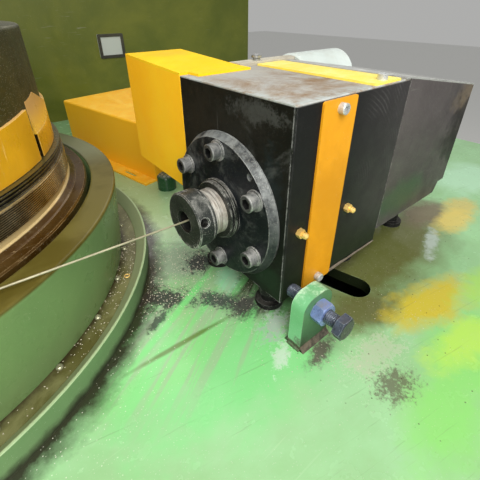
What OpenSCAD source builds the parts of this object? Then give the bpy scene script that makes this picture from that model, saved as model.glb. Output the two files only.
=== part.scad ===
// Single-block wire drawing machine: one capstan with its die box, soap box and guards on a base.
// The origin is on the capstan's axis at floor level. X runs against the wire's travel, Z is up.

/* [Base] */
// Capstan axis to the left end of the base
base_left = 520; // [480:5:700]
// Capstan axis to the right end of the base
base_right = 1400; // [1050:5:1500]
// Capstan axis to the operator's side of the base
base_front = 720; // [620:5:900]
// Capstan axis to the rear side of the base
base_rear = 960; // [940:5:1200]
// Height of the deck's top face above the floor
deck_h = 850; // [600:10:1000]
// Thickness of the deck plate
deck_t = 20; // [12:1:30]
// How far the deck plate stands over the cabinet walls
deck_over = 8; // [0:1:20]
// Thickness of the cabinet walls
wall_t = 8; // [5:1:12]
// Height of the plinth
plinth_h = 100; // [80:5:150]
// Width of the plinth's bars
plinth_bar = 80; // [60:5:100]
// How far the plinth's bars stand back from the walls
plinth_back = 30; // [15:5:50]
// Thickness of the plinth's top flange and anchor lugs
plinth_t = 12; // [8:1:20]
// Length of an anchor lug
lug_l = 90; // [70:5:120]
// Diameter of the anchor holes
anchor_d = 22; // [16:1:30]
// Width of the slot in the deck beside the die box
slot_w = 45; // [30:1:55]
// Radius of the slot about the die box's rear swing point
slot_r = 434; // [420:1:445]
// Die block's front face to the die box's rear swing point
slot_pivot = 556; // [550:1:570]
// Angle of the slot's outer end from the wire line
slot_end = 17.6; // [16:0.2:20]
// Angle that the slot covers
slot_sweep = 12; // [6:1:14]
// Capstan axis to the green boss on the deck, along X
boss_x = 527; // [515:1:540]
// Capstan axis to the green boss on the deck, along Y
boss_y = 26; // [0:1:32]
// Radius of the boss
boss_r = 21; // [15:0.5:23]
// Height of the boss
boss_h = 36; // [25:1:50]
// Rounding of the boss's top edge
boss_edge = 9; // [3:1:12]

/* [Rear housing] */
// Capstan axis to the front face of the rear housing
housing_y = 752; // [720:2:780]
// Depth of the rear housing
housing_d = 150; // [100:5:158]
// Height of the rear housing above the deck
housing_h = 420; // [320:10:700]
// Bevel along the housing's top front edge
housing_bevel = 30; // [5:1:60]
// Capstan axis to the window in the housing
window_x = 684; // [600:2:900]
// Width of the window's frame
window_w = 95; // [80:1:180]
// Height of the window's frame
window_h = 80; // [60:5:110]
// Lower edge of the window above the deck
window_z = 196; // [150:2:200]
// Width of the frame round the glass
window_rim = 10; // [6:1:15]
// Depth of the frame
window_t = 8; // [5:1:14]

/* [Capstan] */
// Radius of the capstan's winding face
shell_r = 318; // [310:0.5:324]
// Wall of the capstan's shell
shell_t = 24; // [16:1:40]
// Height of the winding face above the flange
shell_h = 44.5; // [44:0.5:60]
// Width of the bottom flange beyond the winding face
flange_w = 25; // [22:0.5:27]
// Thickness of the bottom flange
flange_t = 16; // [10:1:20]
// Height of the flare at the foot of the winding face
flare_h = 7; // [3:0.5:8]
// How far the flare's foot stands out
flare_out = 8; // [4:0.5:12]
// Diameter of the drawn wire
wire_d = 2.4; // [1.5:0.1:2.4]
// Turns of wire on the capstan
turns = 12; // [4:1:12]
// Pitch of the turns
turn_pitch = 2.5; // [2.45:0.05:2.55]
// Gap between the winding face and the wire on it
coil_fit = 0.1; // [0.05:0.05:0.3]
// Height of the wire line above the deck
wire_h = 138.5; // [132:0.5:150]
// Rise of the wire from the die holder to the capstan
wire_rise = 15; // [14:0.5:18]
// Clearance between the wire and the flange's rim
wire_clear = 5.2; // [5:0.1:7]
// Radius of the spindle that the capstan turns on
spindle_r = 70; // [50:1:90]
// Running clearance between the spindle and the hub
spindle_fit = 0.05; // [0.02:0.01:0.1]
// Radius of the hub
hub_r = 110; // [95:1:140]
// Height of the hub below the flange
hub_drop = 30; // [15:1:40]
// Width of the spindle's shoulder under the hub
shoulder_w = 40; // [20:1:60]
// Height of the grooved band over the winding face
band_h = 14; // [10:1:30]
// Grooves in the band
band_grooves = 4; // [2:1:6]
// Depth of the grooves
band_groove_d = 1.2; // [0.5:0.1:1.6]
// Step from the winding face in to the dark core over the band
core_in = 44; // [41:0.5:50]
// Wall of the core
core_t = 14; // [8:1:20]
// Height of the core over the band
core_h = 147; // [120:1:220]
// Radius of the cap on the core
cap_r = 150; // [120:5:200]
// Thickness of the cap
cap_t = 16; // [10:1:30]
// Number of yellow segments round the core
segments = 6; // [3:1:10]
// Radial thickness of the segments
segment_t = 38; // [20:1:40]
// Gap between the segments and the core
segment_fit = 0.1; // [0.05:0.05:0.3]
// Height of the segments
segment_h = 51; // [45:1:80]
// Width of the slit between two segments
slit_w = 10; // [4:1:16]
// Height of a slit's floor over the band
slit_floor = 4; // [2:0.5:10]
// Depth of the scoop over a slit
scoop_d = 26; // [10:1:30]
// Radius of the scoop
scoop_r = 110; // [70:5:140]
// Slope of the scoop towards the core
scoop_tilt = 40; // [25:1:55]
// Turn of the segments about the axis
segment_turn = -29; // [-60:1:60]

/* [Capstan base] */
// Step from the fixed ring in to the skirt
skirt_in = 12; // [8:0.5:18]
// Wall of the skirt
skirt_t = 16; // [10:1:24]
// Width of the fixed ring round the flange
ring_w = 35; // [32:0.5:37]
// Gap between the fixed ring and the flange
ring_gap = 6; // [5.5:0.5:10]
// Step from the flange's top down to the ring's top
ring_step = 3; // [2:0.5:6]
// Depth of the ring's outer face
ring_h = 26; // [20:1:40]
// Rounding of the ring's top edge
ring_edge = 7; // [3:1:12]
// Outer edge of the fixed ring to the outside of the trough
trough_out = 32; // [28:0.5:34]
// Height of the trough's floor above the deck
trough_h = 20; // [12:1:26]
// Gap between the trough and the skirt
trough_fit = 0.3; // [0.1:0.1:1]
// Height of the trough's rim above the deck
lip_h = 35; // [30:1:45]
// Width of the rim's flat edge
lip_edge = 3; // [2:0.5:5]
// Width of the slope inside the rim
lip_slope = 16; // [10:1:20]

/* [Die box] */
// Outside of the trough to the front face of the die block
block_clear = 23; // [22:1:40]
// Length of the die block along the wire
block_l = 210; // [200:1:240]
// Width of the die block
block_w = 204; // [200:1:230]
// Height of the die block
block_h = 249; // [235:1:280]
// Height of the block's underside above the deck
block_gap = 40.5; // [36:0.5:43]
// Die axis to the block's operator side
die_off = 109.2; // [106:0.1:112]
// Chamfer along the block's edges
block_edge = 2; // [1:0.5:4]
// Centre of a foot from the block's front and rear faces
foot_x = 22; // [20:1:40]
// Centre of a foot from the block's sides
foot_y = 42; // [25:1:50]
// Radius of a foot's disc
foot_r = 20; // [16:1:22]
// Radius of a foot's stud
stud_r = 12; // [8:1:14]

/* [Die holder] */
// Radius of the flange plate at the block
plate_r = 99.5; // [95:0.5:101]
// Thickness of the flange plate
plate_t = 11; // [8:1:14]
// Bevel of the flange plate's rim
plate_bevel = 6; // [2:0.5:7]
// Diameter of the flange plate's bolt circle
plate_pcd = 159; // [145:1:162]
// Screws in the flange plate
plate_screws = 6; // [4:1:8]
// Tapped pull-off holes in the flange plate
pull_holes = 2; // [1:1:3]
// Diameter of a pull-off hole
pull_d = 8; // [6:1:10]
// Diameter of the pull-off holes' circle
pull_pcd = 174; // [168:1:174]
// Turn of the first pull-off hole from the top towards the operator's side
pull_turn = 42; // [38:1:44]
// Radius of the seal collar
collar_r = 41; // [38:0.5:50]
// Length of the seal collar
collar_l = 10.5; // [8:0.5:18]
// Radius of the turning sleeve
sleeve_r = 30.5; // [27:0.5:33]
// Length of the sleeve inside the block
sleeve_in = 120; // [80:5:160]
// Running clearance round the sleeve
sleeve_fit = 0.05; // [0.02:0.01:0.1]
// Radius of the wire bore through the sleeve
sleeve_bore = 13; // [8:0.5:14]
// Outer radius of the die nut
nut_r = 37; // [35:0.1:42]
// Length of the die nut
nut_l = 26; // [24:1:32]
// Front face of the nut ahead of the block's face
nut_reach = 66; // [62:1:72]
// Diameter of the spanner holes in the nut
spanner_d = 10.5; // [6:0.5:11]
// Centre of the spanner holes behind the nut's front face
spanner_x = 8; // [7.5:0.5:9]
// Chamfer of the spanner holes
spanner_edge = 1.6; // [0.5:0.1:1.8]
// Spanner holes round the nut
spanner_n = 4; // [2:1:6]
// Depth of a spanner hole
spanner_depth = 12; // [6:1:14]
// Turn of the first spanner hole above the operator's side
spanner_turn = 18.5; // [0:0.5:90]
// Width of the groove round the nut
nut_groove = 2; // [1:0.5:3]
// Width of the nut's rear collar behind the groove
nut_collar = 4; // [3:0.5:6]
// Step down to the nut's rear collar
nut_step = 1.5; // [0.5:0.1:2]

/* [Straps and screws] */
// Thickness of the yellow straps
strap_t = 2.5; // [1.5:0.1:5]
// Width of the yellow straps
strap_w = 56; // [40:1:60]
// Corner radius of the yellow straps
strap_round = 3; // [2:0.5:12]
// Ends of the straps inside the block's edges
strap_inset = 2; // [0.5:0.5:6]
// Front edge of the side strap behind the block's face
strap_x = 38; // [34:1:50]
// Front edge of the top strap behind the block's face
top_strap_x = 133; // [112:1:136]
// Screws' distance from the straps' ends
strap_end = 10; // [9:0.5:30]
// Thread diameter of the flange plate's screws
screw_d = 14; // [10:1:16]
// Thread diameter of the straps' screws
strap_screw_d = 8; // [6:1:10]
// Thickness of the washers under the flange plate's screws
washer_t = 2; // [1:0.5:4]
// Height of the brass nipples above the block's underside
nipple_z = 101; // [80:1:120]
// Front nipple behind the block's face
nipple_x1 = 22; // [12:1:23]
// Rear nipple behind the block's face
nipple_x2 = 113; // [110:1:130]
// Hexagon of the nipples across its corners
nipple_hex = 12; // [10:0.5:15]
// Height of the brown seal strip
seal_h = 5; // [3:0.5:15]
// Thickness of the brown seal strip
seal_t = 3; // [1.5:0.5:5]

/* [Soap box] */
// Length of the soap box along the wire
soap_l = 220; // [210:2:300]
// Height of the soap box's floor above the deck
soap_gap = 66; // [60:1:75]
// Wall of the soap box
soap_t = 6; // [4:0.5:10]
// Height of the soap box's rear wall
soap_rear_h = 189; // [170:1:205]
// Thickness of the lid
lid_t = 2; // [1:0.5:6]
// How far the lid reaches over the block
lid_over = 12; // [5:1:16]
// Length of the soap box's foot step at its rear end
soap_step = 30; // [15:1:50]
// Rise of the floor at the rear end
soap_rise = 20; // [8:1:30]
// Radius of the pale motor beside the soap box
motor_r = 48; // [35:1:52]
// Length of the motor
motor_l = 140; // [100:1:150]
// Front of the motor behind the block's front face
motor_x = 267; // [250:1:275]
// Motor's axis below the top of the block
motor_drop = 46; // [42:1:70]
// Length of the bar along the block's far top edge
rail_l = 124; // [100:1:135]
// Thickness of the bar
rail_t = 24; // [15:1:30]
// Height of the bar
rail_h = 34; // [25:1:45]
// How far the bar stands over the block's top
rail_up = 5; // [4:1:14]

/* [Belt guard] */
// Width of the belt guard beside the block
guard_w = 162; // [150:1:168]
// Depth of the belt guard along the wire
guard_l = 102; // [90:1:104]
// Height of the guard's lower edge above the deck
guard_low = 123; // [110:1:135]
// Rise of the guard's top away from the block
guard_rise = 9; // [2:0.5:14]
// Rise of the guard's lower edge away from the block
guard_low_rise = 7; // [2:0.5:12]
// Thickness of the guard's sheet
guard_t = 3; // [2:0.5:5]
// Thickness of the guard's lid
guard_lid_t = 3; // [2:0.5:6]
// How far the guard's lid reaches over the block
guard_over = 24; // [15:1:60]
// Front edge of the lid's flap behind the block's face
flap_x = 14; // [5:1:40]

/* [Duct] */
// Front corner of the duct nearest the wire behind the block's face
duct_back = 85; // [80:1:120]
// Front corner of the duct nearest the wire, along Y
duct_y = 73; // [50:1:100]
// Width of the duct's front face
duct_w = 386; // [300:2:420]
// Depth of the duct
duct_l = 260; // [200:5:320]
// Height of the duct above the deck
duct_h = 135; // [110:1:160]
// Turn of the duct about Z
duct_turn = 11; // [5:0.5:15]
// Radius of the duct's folded edge
duct_fold = 5; // [2:0.5:10]
// Width of the duct's foot flange
duct_foot = 33; // [25:1:45]
// Thickness of the duct's foot flange
duct_t = 4; // [2:0.5:6]
// Length of the slots in the foot flange
duct_slot_l = 52; // [30:1:70]
// Width of the slots in the foot flange
duct_slot_w = 8; // [6:0.5:12]
// Centre of a slot from the flange's end
duct_slot_in = 82; // [60:1:100]

/* [Jack] */
// Bracket's outer face from the block's side
jack_y = 45; // [40:1:52]
// Thickness of the bracket
jack_t = 20; // [15:1:25]
// Width of the bracket
jack_w = 51; // [46:1:60]
// Height of the bracket
jack_h = 80; // [78:1:95]
// Radius of the bracket's upper corners
jack_round = 18; // [8:1:22]
// Front edge of the bracket ahead of the block's face
jack_x = 9; // [6:1:15]
// Height of the jack bolt above the deck
jack_bolt_h = 57; // [56:0.5:60]
// Diameter of the jack bolt
jack_bolt_d = 18; // [14:1:20]
// Gap between the bolt's tip and the block
jack_tip = 0.4; // [0.2:0.1:1]
// Length of bolt between the lock nut and the head
jack_free = 16; // [15.5:0.5:24]
// Running clearance of the bolt in the bracket and nut
jack_fit = 0.05; // [0.02:0.01:0.1]
// Height of the welds round the bracket's foot
weld = 6; // [3:0.5:8]

/* [Hidden] */
$fn = 96;
cut = 1;
slot_steps = 12;
fold = 3;
hex_k = 2 / sqrt(3);
wire_r = wire_d / 2;
wire_y = -(shell_r + coil_fit + wire_r);
wire_z = deck_h + wire_h;
wire_end = 34;
flange_r = shell_r + flange_w;
core_r = shell_r - core_in;
ring_r = flange_r + ring_gap + ring_w;
skirt_r = ring_r - skirt_in;
lip_r = ring_r + trough_out;
block_x = lip_r + block_clear;
nut_x = block_x - nut_reach;
duct_x = block_x + duct_back;
coil_z = wire_z + wire_rise;
rim_x = sqrt(flange_r * flange_r - wire_y * wire_y);
flange_z = wire_z + wire_rise * (1 - rim_x / nut_x) - wire_r - wire_clear;
shell_z = flange_z + shell_h;
core_z = shell_z + band_h;
core_top = core_z + core_h;
ring_z = flange_z - ring_step;
block_y = wire_y - die_off;
block_z = deck_h + block_gap;
block_top = block_z + block_h;
block_end = block_x + block_l;
block_left = block_y + block_w;
guard_z = deck_h + guard_low;
soap_z = deck_h + soap_gap;
soap_end = block_end + soap_l;
soap_top = soap_z + soap_rear_h;
jack_px = block_x - jack_x + jack_w / 2;
jack_z = deck_h + jack_bolt_h;
jack_nut_h = 0.8 * jack_bolt_d;
jack_head_h = 0.65 * jack_bolt_d;
jack_hex = 1.5 * jack_bolt_d * hex_k;
near_face = block_y - jack_y;
cross_x = block_x + block_l / 2;
half_bar = plinth_bar / 2;
bay_x = [[-base_left + plinth_back + plinth_bar, -half_bar],
    [half_bar, cross_x - half_bar],
    [cross_x + half_bar, base_right - plinth_back - plinth_bar]];

// Unit vector at an angle in the plane
function unit(a) = [cos(a), sin(a)];

// Outline of a curved slot about the origin, with round ends, between two angles
function slot_outline(r, half, a0, a1) = concat(
    [for (i = [0:slot_steps]) (r + half) * unit(a0 + (a1 - a0) * i / slot_steps)],
    [for (i = [1:slot_steps - 1]) r * unit(a1) + half * unit(a1 + 180 * i / slot_steps)],
    [for (i = [0:slot_steps]) (r - half) * unit(a1 - (a1 - a0) * i / slot_steps)],
    [for (i = [1:slot_steps - 1]) r * unit(a0) + half * unit(a0 + 180 + 180 * i / slot_steps)]);

// Outline of a rectangle with cut corners
function chamfered(w, h, c) = [[c, 0], [w - c, 0], [w, c], [w, h - c], [w - c, h], [c, h], [0, h - c], [0, c]];

// Bar lying along X from x0, centred on y and z
module bar_x(x0, len, r, y, z) {
    translate([x0, y, z])
        rotate([0, 90, 0])
            cylinder(h = len, r = r);
}

// Solid of revolution about the die axis, from points of distance behind x0 and radius
module die_turned(x0, points) {
    translate([x0, wire_y, wire_z])
        rotate([0, 90, 0])
            rotate_extrude()
                polygon([for (p = points) [p[1], p[0]]]);
}

// Rectangle with round corners
module round_plate(w, h, r) {
    union() {
        translate([r, 0])
            square([w - 2 * r, h]);
        translate([0, r])
            square([w, h - 2 * r]);
        for (x = [r, w - r], y = [r, h - r])
            translate([x, y])
                circle(r = r);
    }
}

// Turns its children to a place on a circle of the flange plate, from the block's front face
module on_plate(turn, pcd) {
    translate([block_x, wire_y, wire_z])
        rotate([turn, 0, 0])
            translate([0, 0, pcd / 2])
                rotate([0, 90, 0])
                    children();
}

// Socket head screw on a washer; the work's face is at z = 0 and the head stands below it
module socket_screw(d, shank, washer) {
    head_r = 0.75 * d;
    head_h = 0.9 * d;
    edge = 0.08 * d;
    difference() {
        union() {
            rotate_extrude()
                polygon([[0, -washer - head_h], [head_r - edge, -washer - head_h],
                    [head_r, -washer - head_h + edge], [head_r, -washer], [0, -washer]]);
            if (washer > 0)
                translate([0, 0, -washer])
                    cylinder(h = washer, r = 0.94 * d);
            if (shank > 0)
                cylinder(h = shank, r = d / 2 - 0.2);
        }
        translate([0, 0, -washer - head_h - cut])
            cylinder(h = 0.5 * d + cut, r = 0.42 * d * hex_k, $fn = 6);
    }
}

// Welded floor frame with two cross bars, a top flange and four anchor lugs
module plinth() {
    x0 = -base_left;
    y0 = -base_front;
    w = base_left + base_right;
    d = base_front + base_rear;
    lug_x = [x0 + lug_l, x0 + w - 2 * lug_l];
    lug_y = [y0 + plinth_back - lug_l, y0 + d - plinth_back];
    color("#5f8f63")
    difference() {
        union() {
            translate([x0 + plinth_back, y0 + plinth_back, 0])
                cube([w - 2 * plinth_back, d - 2 * plinth_back, plinth_h - plinth_t / 2]);
            translate([x0, y0, plinth_h - plinth_t])
                cube([w, d, plinth_t]);
            for (x = lug_x, y = lug_y)
                translate([x, y, 0])
                    cube([lug_l, lug_l, plinth_t]);
        }
        for (bay = bay_x)
            translate([bay[0], y0 + plinth_back + plinth_bar, -cut])
                cube([bay[1] - bay[0], d - 2 * plinth_back - 2 * plinth_bar, plinth_h + 2 * cut]);
        for (x = lug_x, y = lug_y)
            translate([x + lug_l / 2, y + lug_l / 2, -cut])
                cylinder(h = plinth_t + 2 * cut, d = anchor_d);
    }
}

// Cabinet wall with a folded inner edge along its top, which stops short of the corners
module wall(w, short) {
    h = deck_h - deck_t - plinth_h;
    cube([w, wall_t, h]);
    translate([short, 0, h - wall_t])
        cube([w - 2 * short, fold * wall_t, wall_t]);
}

module front_panel() {
    color("#6fa274")
    translate([-base_left, -base_front, plinth_h])
        wall(base_left + base_right, wall_t);
}

module rear_panel() {
    color("#6fa274")
    translate([base_right, base_rear, plinth_h])
        rotate([0, 0, 180])
            wall(base_left + base_right, wall_t);
}

module left_panel() {
    color("#6fa274")
    translate([-base_left, base_rear - wall_t, plinth_h])
        rotate([0, 0, -90])
            wall(base_front + base_rear - 2 * wall_t, fold * wall_t);
}

module right_panel() {
    color("#6fa274")
    translate([base_right, -base_front + wall_t, plinth_h])
        rotate([0, 0, 90])
            wall(base_front + base_rear - 2 * wall_t, fold * wall_t);
}

// Deck plate with the curved slot in which the die box is clamped
module deck() {
    color("#79b183")
    difference() {
        translate([-base_left - deck_over, -base_front - deck_over, deck_h - deck_t])
            cube([base_left + base_right + 2 * deck_over, base_front + base_rear + 2 * deck_over, deck_t]);
        translate([block_x + slot_pivot, wire_y, deck_h - deck_t - cut])
            rotate([0, 0, 180])
                linear_extrude(deck_t + 2 * cut)
                    polygon(slot_outline(slot_r, slot_w / 2, slot_end - slot_sweep, slot_end));
    }
}

// Green boss with a rounded top beside the duct
module deck_boss() {
    c = boss_r - boss_edge;
    color("#5f9a6b")
    translate([boss_x, boss_y, deck_h])
        rotate_extrude()
            polygon(concat([[0, 0], [boss_r, 0]],
                [for (a = [0:15:90]) [c + boss_edge * cos(a), boss_h - boss_edge + boss_edge * sin(a)]],
                [[0, boss_h]]));
}

module rear_housing() {
    b = housing_bevel;
    color("#3f4f38")
    translate([-base_left, housing_y, deck_h])
        rotate([90, 0, 90])
            linear_extrude(base_left + base_right)
                polygon([[0, 0], [housing_d, 0], [housing_d, housing_h], [b, housing_h], [0, housing_h - b]]);
}

// Window frame on the housing with a recessed pane
module housing_window() {
    color("#202020")
    translate([window_x, housing_y, deck_h + window_z])
        rotate([90, 0, 0])
            difference() {
                linear_extrude(window_t)
                    round_plate(window_w, window_h, window_rim / 2);
                translate([window_rim, window_rim, window_t / 2])
                    cube([window_w - 2 * window_rim, window_h - 2 * window_rim, window_t]);
            }
}

// Raised trough round the skirt, with a sloping inner side and a thin rim
module trough_lip() {
    in_r = skirt_r + trough_fit;
    rim_r = lip_r - lip_edge;
    color("#79b183")
    translate([0, 0, deck_h])
        rotate_extrude()
            polygon([[in_r, 0], [lip_r, 0], [lip_r, lip_h - 0.5], [lip_r - 0.5, lip_h], [rim_r, lip_h],
                [rim_r - lip_slope, trough_h], [in_r, trough_h]]);
}

// Fixed skirt that widens into the ring round the capstan's flange
module capstan_base() {
    top = ring_z - deck_h;
    low = top - ring_h;
    in_r = flange_r + ring_gap;
    sweep_h = 34;
    edge_r = ring_r - ring_edge;
    sweep = [for (a = [0:15:90]) [skirt_r + skirt_in * (1 - cos(a)), low - sweep_h + sweep_h * sin(a)]];
    edge = [for (a = [0:15:90]) [edge_r + ring_edge * cos(a), top - ring_edge + ring_edge * sin(a)]];
    color("#6d8a4c")
    translate([0, 0, deck_h])
        rotate_extrude()
            polygon(concat([[skirt_r - skirt_t, 0], [skirt_r, 0]], sweep, edge,
                [[in_r, top], [in_r, low + 2], [skirt_r - skirt_t, low - sweep_h]]));
}

module spindle() {
    color("#8a8d90")
    translate([0, 0, deck_h]) {
        cylinder(h = core_top - core_t - deck_h - 6, r = spindle_r);
        cylinder(h = flange_z - flange_t - hub_drop - deck_h - 0.4, r = spindle_r + shoulder_w);
    }
}

// Hub, web, flange and winding face in one casting
module capstan_shell() {
    z0 = flange_z - flange_t;
    bore = spindle_r + spindle_fit;
    color("#8b8a86")
    rotate_extrude()
        polygon([[bore, z0 - hub_drop], [hub_r, z0 - hub_drop], [hub_r, z0], [flange_r - 2, z0],
            [flange_r, z0 + 2], [flange_r, flange_z - 2], [flange_r - 2, flange_z], [shell_r + flare_out + 2, flange_z],
            [shell_r + flare_out, flange_z + 1], [shell_r, flange_z + flare_h], [shell_r, shell_z],
            [shell_r - shell_t, shell_z], [shell_r - shell_t, flange_z], [hub_r, flange_z],
            [hub_r, core_z], [bore, core_z]]);
}

// Turns of wire side by side on the winding face
module wire_coils() {
    z0 = coil_z + turn_pitch;
    color("#9a9894")
    rotate_extrude()
        union() {
            for (i = [0:turns - 1])
                translate([-wire_y, z0 + i * turn_pitch])
                    circle(r = wire_r, $fn = 24);
            translate([shell_r + coil_fit, z0])
                square([wire_r, (turns - 1) * turn_pitch]);
        }
}

module grooved_band() {
    step = band_h / band_grooves;
    color("#2b2a28")
    rotate_extrude()
        difference() {
            translate([core_r - core_t, shell_z])
                square([shell_r + 1 - core_r + core_t, band_h]);
            for (i = [0:band_grooves - 1])
                translate([shell_r + 1, shell_z + (i + 0.5) * step])
                    circle(r = band_groove_d, $fn = 16);
        }
}

module capstan_core() {
    in_r = hub_r - 5;
    color("#2e2c2a")
    rotate_extrude()
        polygon([[core_r - core_t, core_z], [core_r, core_z], [core_r, core_top - 3], [core_r - 3, core_top],
            [in_r, core_top], [in_r, core_top - core_t], [core_r - core_t, core_top - core_t]]);
}

// Yellow segments with a slit and a sloping scoop between each two
module capstan_segments() {
    in_r = core_r + segment_fit;
    out_r = core_r + segment_t;
    color("#f2a51c")
    difference() {
        translate([0, 0, core_z])
            rotate_extrude()
                polygon([[in_r, 0], [out_r - 2, 0], [out_r, 2], [out_r, segment_h - 2],
                    [out_r - 2, segment_h], [in_r, segment_h]]);
        for (i = [0:segments - 1])
            rotate([0, 0, segment_turn + i * 360 / segments]) {
                translate([core_r - cut, -slit_w / 2, core_z + slit_floor])
                    cube([segment_t + 2 * cut, slit_w, segment_h]);
                translate([out_r, 0, core_z + segment_h - scoop_d])
                    rotate([0, -90 + scoop_tilt, 0])
                        translate([scoop_r, 0, -scoop_r])
                            cylinder(h = 3 * scoop_r, r = scoop_r);
            }
    }
}

module capstan_cap() {
    color("#2e2c2a")
    translate([0, 0, core_top])
        rotate_extrude()
            polygon([[0, 0], [cap_r, 0], [cap_r, cap_t / 2], [cap_r - cap_t / 2, cap_t], [0, cap_t]]);
}

module die_block() {
    color("#26272a")
    difference() {
        intersection() {
            translate([block_x, block_y, block_z])
                linear_extrude(block_h)
                    polygon(chamfered(block_l, block_w, block_edge));
            translate([block_x, block_y, block_z])
                rotate([90, 0, 90])
                    linear_extrude(block_l)
                        polygon(chamfered(block_w, block_h, block_edge));
        }
        bar_x(block_x - cut, sleeve_in + cut, sleeve_r + sleeve_fit, wire_y, wire_z);
        bar_x(block_x - cut, block_l + 2 * cut, sleeve_bore, wire_y, wire_z);
        for (i = [0:plate_screws - 1])
            on_plate(i * 360 / plate_screws, plate_pcd)
                translate([0, 0, -cut])
                    cylinder(h = 1.6 * screw_d + cut, d = screw_d);
    }
}

// Levelling feet: a disc, a hexagon nut and a stud each
module block_feet() {
    disc = 0.2 * block_gap;
    nut = 0.45 * block_gap;
    color("#1f1f20")
    for (x = [block_x + foot_x, block_end - foot_x], y = [block_y + foot_y, block_left - foot_y])
        translate([x, y, deck_h])
            union() {
                cylinder(h = disc, r = foot_r);
                cylinder(h = block_gap, r = stud_r);
                translate([0, 0, block_gap - nut])
                    cylinder(h = nut, r = 1.45 * stud_r, $fn = 6);
            }
}

module flange_plate() {
    color("#4a4644")
    difference() {
        die_turned(block_x, [[0, sleeve_r + 2], [0, plate_r], [-2, plate_r], [-plate_t, plate_r - plate_bevel],
            [-plate_t, sleeve_r + 2]]);
        for (i = [0:plate_screws - 1])
            on_plate(i * 360 / plate_screws, plate_pcd)
                translate([0, 0, -plate_t - cut])
                    cylinder(h = plate_t + 2 * cut, d = screw_d + 1);
        for (i = [0:pull_holes - 1])
            on_plate(pull_turn + i * 360 / pull_holes, pull_pcd)
                translate([0, 0, -plate_t - cut])
                    cylinder(h = plate_t + 2 * cut, d = pull_d);
    }
}

module flange_screws() {
    color("#1d1d20")
    for (i = [0:plate_screws - 1])
        on_plate(i * 360 / plate_screws, plate_pcd)
            translate([0, 0, -plate_t])
                socket_screw(screw_d, plate_t + 1.5 * screw_d, washer_t);
}

// Fixed seal collar, stepped towards the nut
module seal_collar() {
    x = plate_t + collar_l;
    in_r = sleeve_r + sleeve_fit;
    color("#1c1c1e")
    die_turned(block_x, [[-plate_t, in_r], [-plate_t, collar_r], [-plate_t - 0.4 * collar_l, collar_r],
        [-plate_t - 0.5 * collar_l, collar_r - 2], [-x + 1, collar_r - 2], [-x, collar_r - 3], [-x, in_r]]);
}

module die_sleeve() {
    tail = block_x + sleeve_in - 1;
    seat = nut_x + 0.6 * nut_l;
    color("#6b5b4c")
    die_turned(seat, [[0, sleeve_bore], [0, sleeve_r - 1], [1, sleeve_r], [tail - seat, sleeve_r],
        [tail - seat, sleeve_bore]]);
}

// Round nut with a groove, a rear collar and radial spanner holes with chamfers
module die_nut() {
    g1 = nut_l - nut_collar;
    g0 = g1 - nut_groove;
    rear_r = nut_r - nut_step;
    seat = 0.6 * nut_l;
    hole_r = spanner_d / 2;
    color("#2c2d30")
    difference() {
        die_turned(nut_x, [[0, sleeve_bore + 2], [0, nut_r - 1.5], [1.5, nut_r], [g0, nut_r], [g0, rear_r - 1],
            [g1, rear_r - 1], [g1, rear_r], [nut_l - 1, rear_r], [nut_l, rear_r - 1], [nut_l, sleeve_r],
            [seat, sleeve_r], [seat, sleeve_bore], [2, sleeve_bore]]);
        for (i = [0:spanner_n - 1])
            translate([nut_x + spanner_x, wire_y, wire_z])
                rotate([90 - spanner_turn + i * 360 / spanner_n, 0, 0]) {
                    translate([0, 0, nut_r - spanner_depth])
                        cylinder(h = spanner_depth + cut, r = hole_r);
                    translate([0, 0, nut_r - spanner_edge])
                        cylinder(h = spanner_edge + cut, r1 = hole_r, r2 = hole_r + spanner_edge + cut);
                }
    }
}

module side_strap() {
    color("#f2a51c")
    translate([block_x + strap_x, block_y, block_z + strap_inset])
        rotate([90, 0, 0])
            linear_extrude(strap_t)
                round_plate(strap_w, block_h - 2 * strap_inset, strap_round);
}

module top_strap() {
    color("#f2a51c")
    translate([block_x + top_strap_x, block_y + strap_inset, block_top])
        linear_extrude(strap_t)
            round_plate(strap_w, block_w - 2 * strap_inset, strap_round);
}

// Two screws in the side strap and one at the near end of the top strap
module strap_screws() {
    end = strap_inset + strap_end;
    color("#9a9ca0") {
        for (z = [block_z + end, block_top - end])
            translate([block_x + strap_x + strap_w / 2, block_y - strap_t, z])
                rotate([-90, 0, 0])
                    socket_screw(strap_screw_d, 0, 0);
        translate([block_x + top_strap_x + strap_w / 2, block_y + end, block_top + strap_t])
            rotate([180, 0, 0])
                socket_screw(strap_screw_d, 0, 0);
    }
}

// Grease nipples: a hexagon, a neck and a ball each
module brass_nipples() {
    neck = 0.5 * nipple_hex;
    color("#c79a3a")
    for (x = [nipple_x1, nipple_x2])
        translate([block_x + x, block_y, block_z + nipple_z])
            rotate([90, 0, 0])
                union() {
                    cylinder(h = neck, d = nipple_hex, $fn = 6);
                    rotate_extrude()
                        polygon([[0, 0], [neck / 2, 0], [neck / 2, 1.3 * neck], [0.7 * neck, 1.5 * neck],
                            [0.6 * neck, 2 * neck], [0.2 * neck, 2.25 * neck], [0, 2.25 * neck]]);
                }
}

module side_gasket() {
    x = strap_x + strap_w + 0.5;
    color("#6d5138")
    translate([block_x + x, block_y - seal_t, block_z + block_edge])
        cube([block_l - x - block_edge, seal_t, seal_h]);
}

// Bar on the block's far side behind the belt guard, with a round rear end
module block_rail() {
    x0 = block_x + guard_l + 0.5;
    color("#8d857a")
    translate([x0, block_left, block_top + rail_up - rail_h])
        linear_extrude(rail_h)
            union() {
                square([rail_l - rail_t / 2, rail_t]);
                translate([rail_l - rail_t / 2, rail_t / 2])
                    circle(r = rail_t / 2);
            }
}

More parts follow.
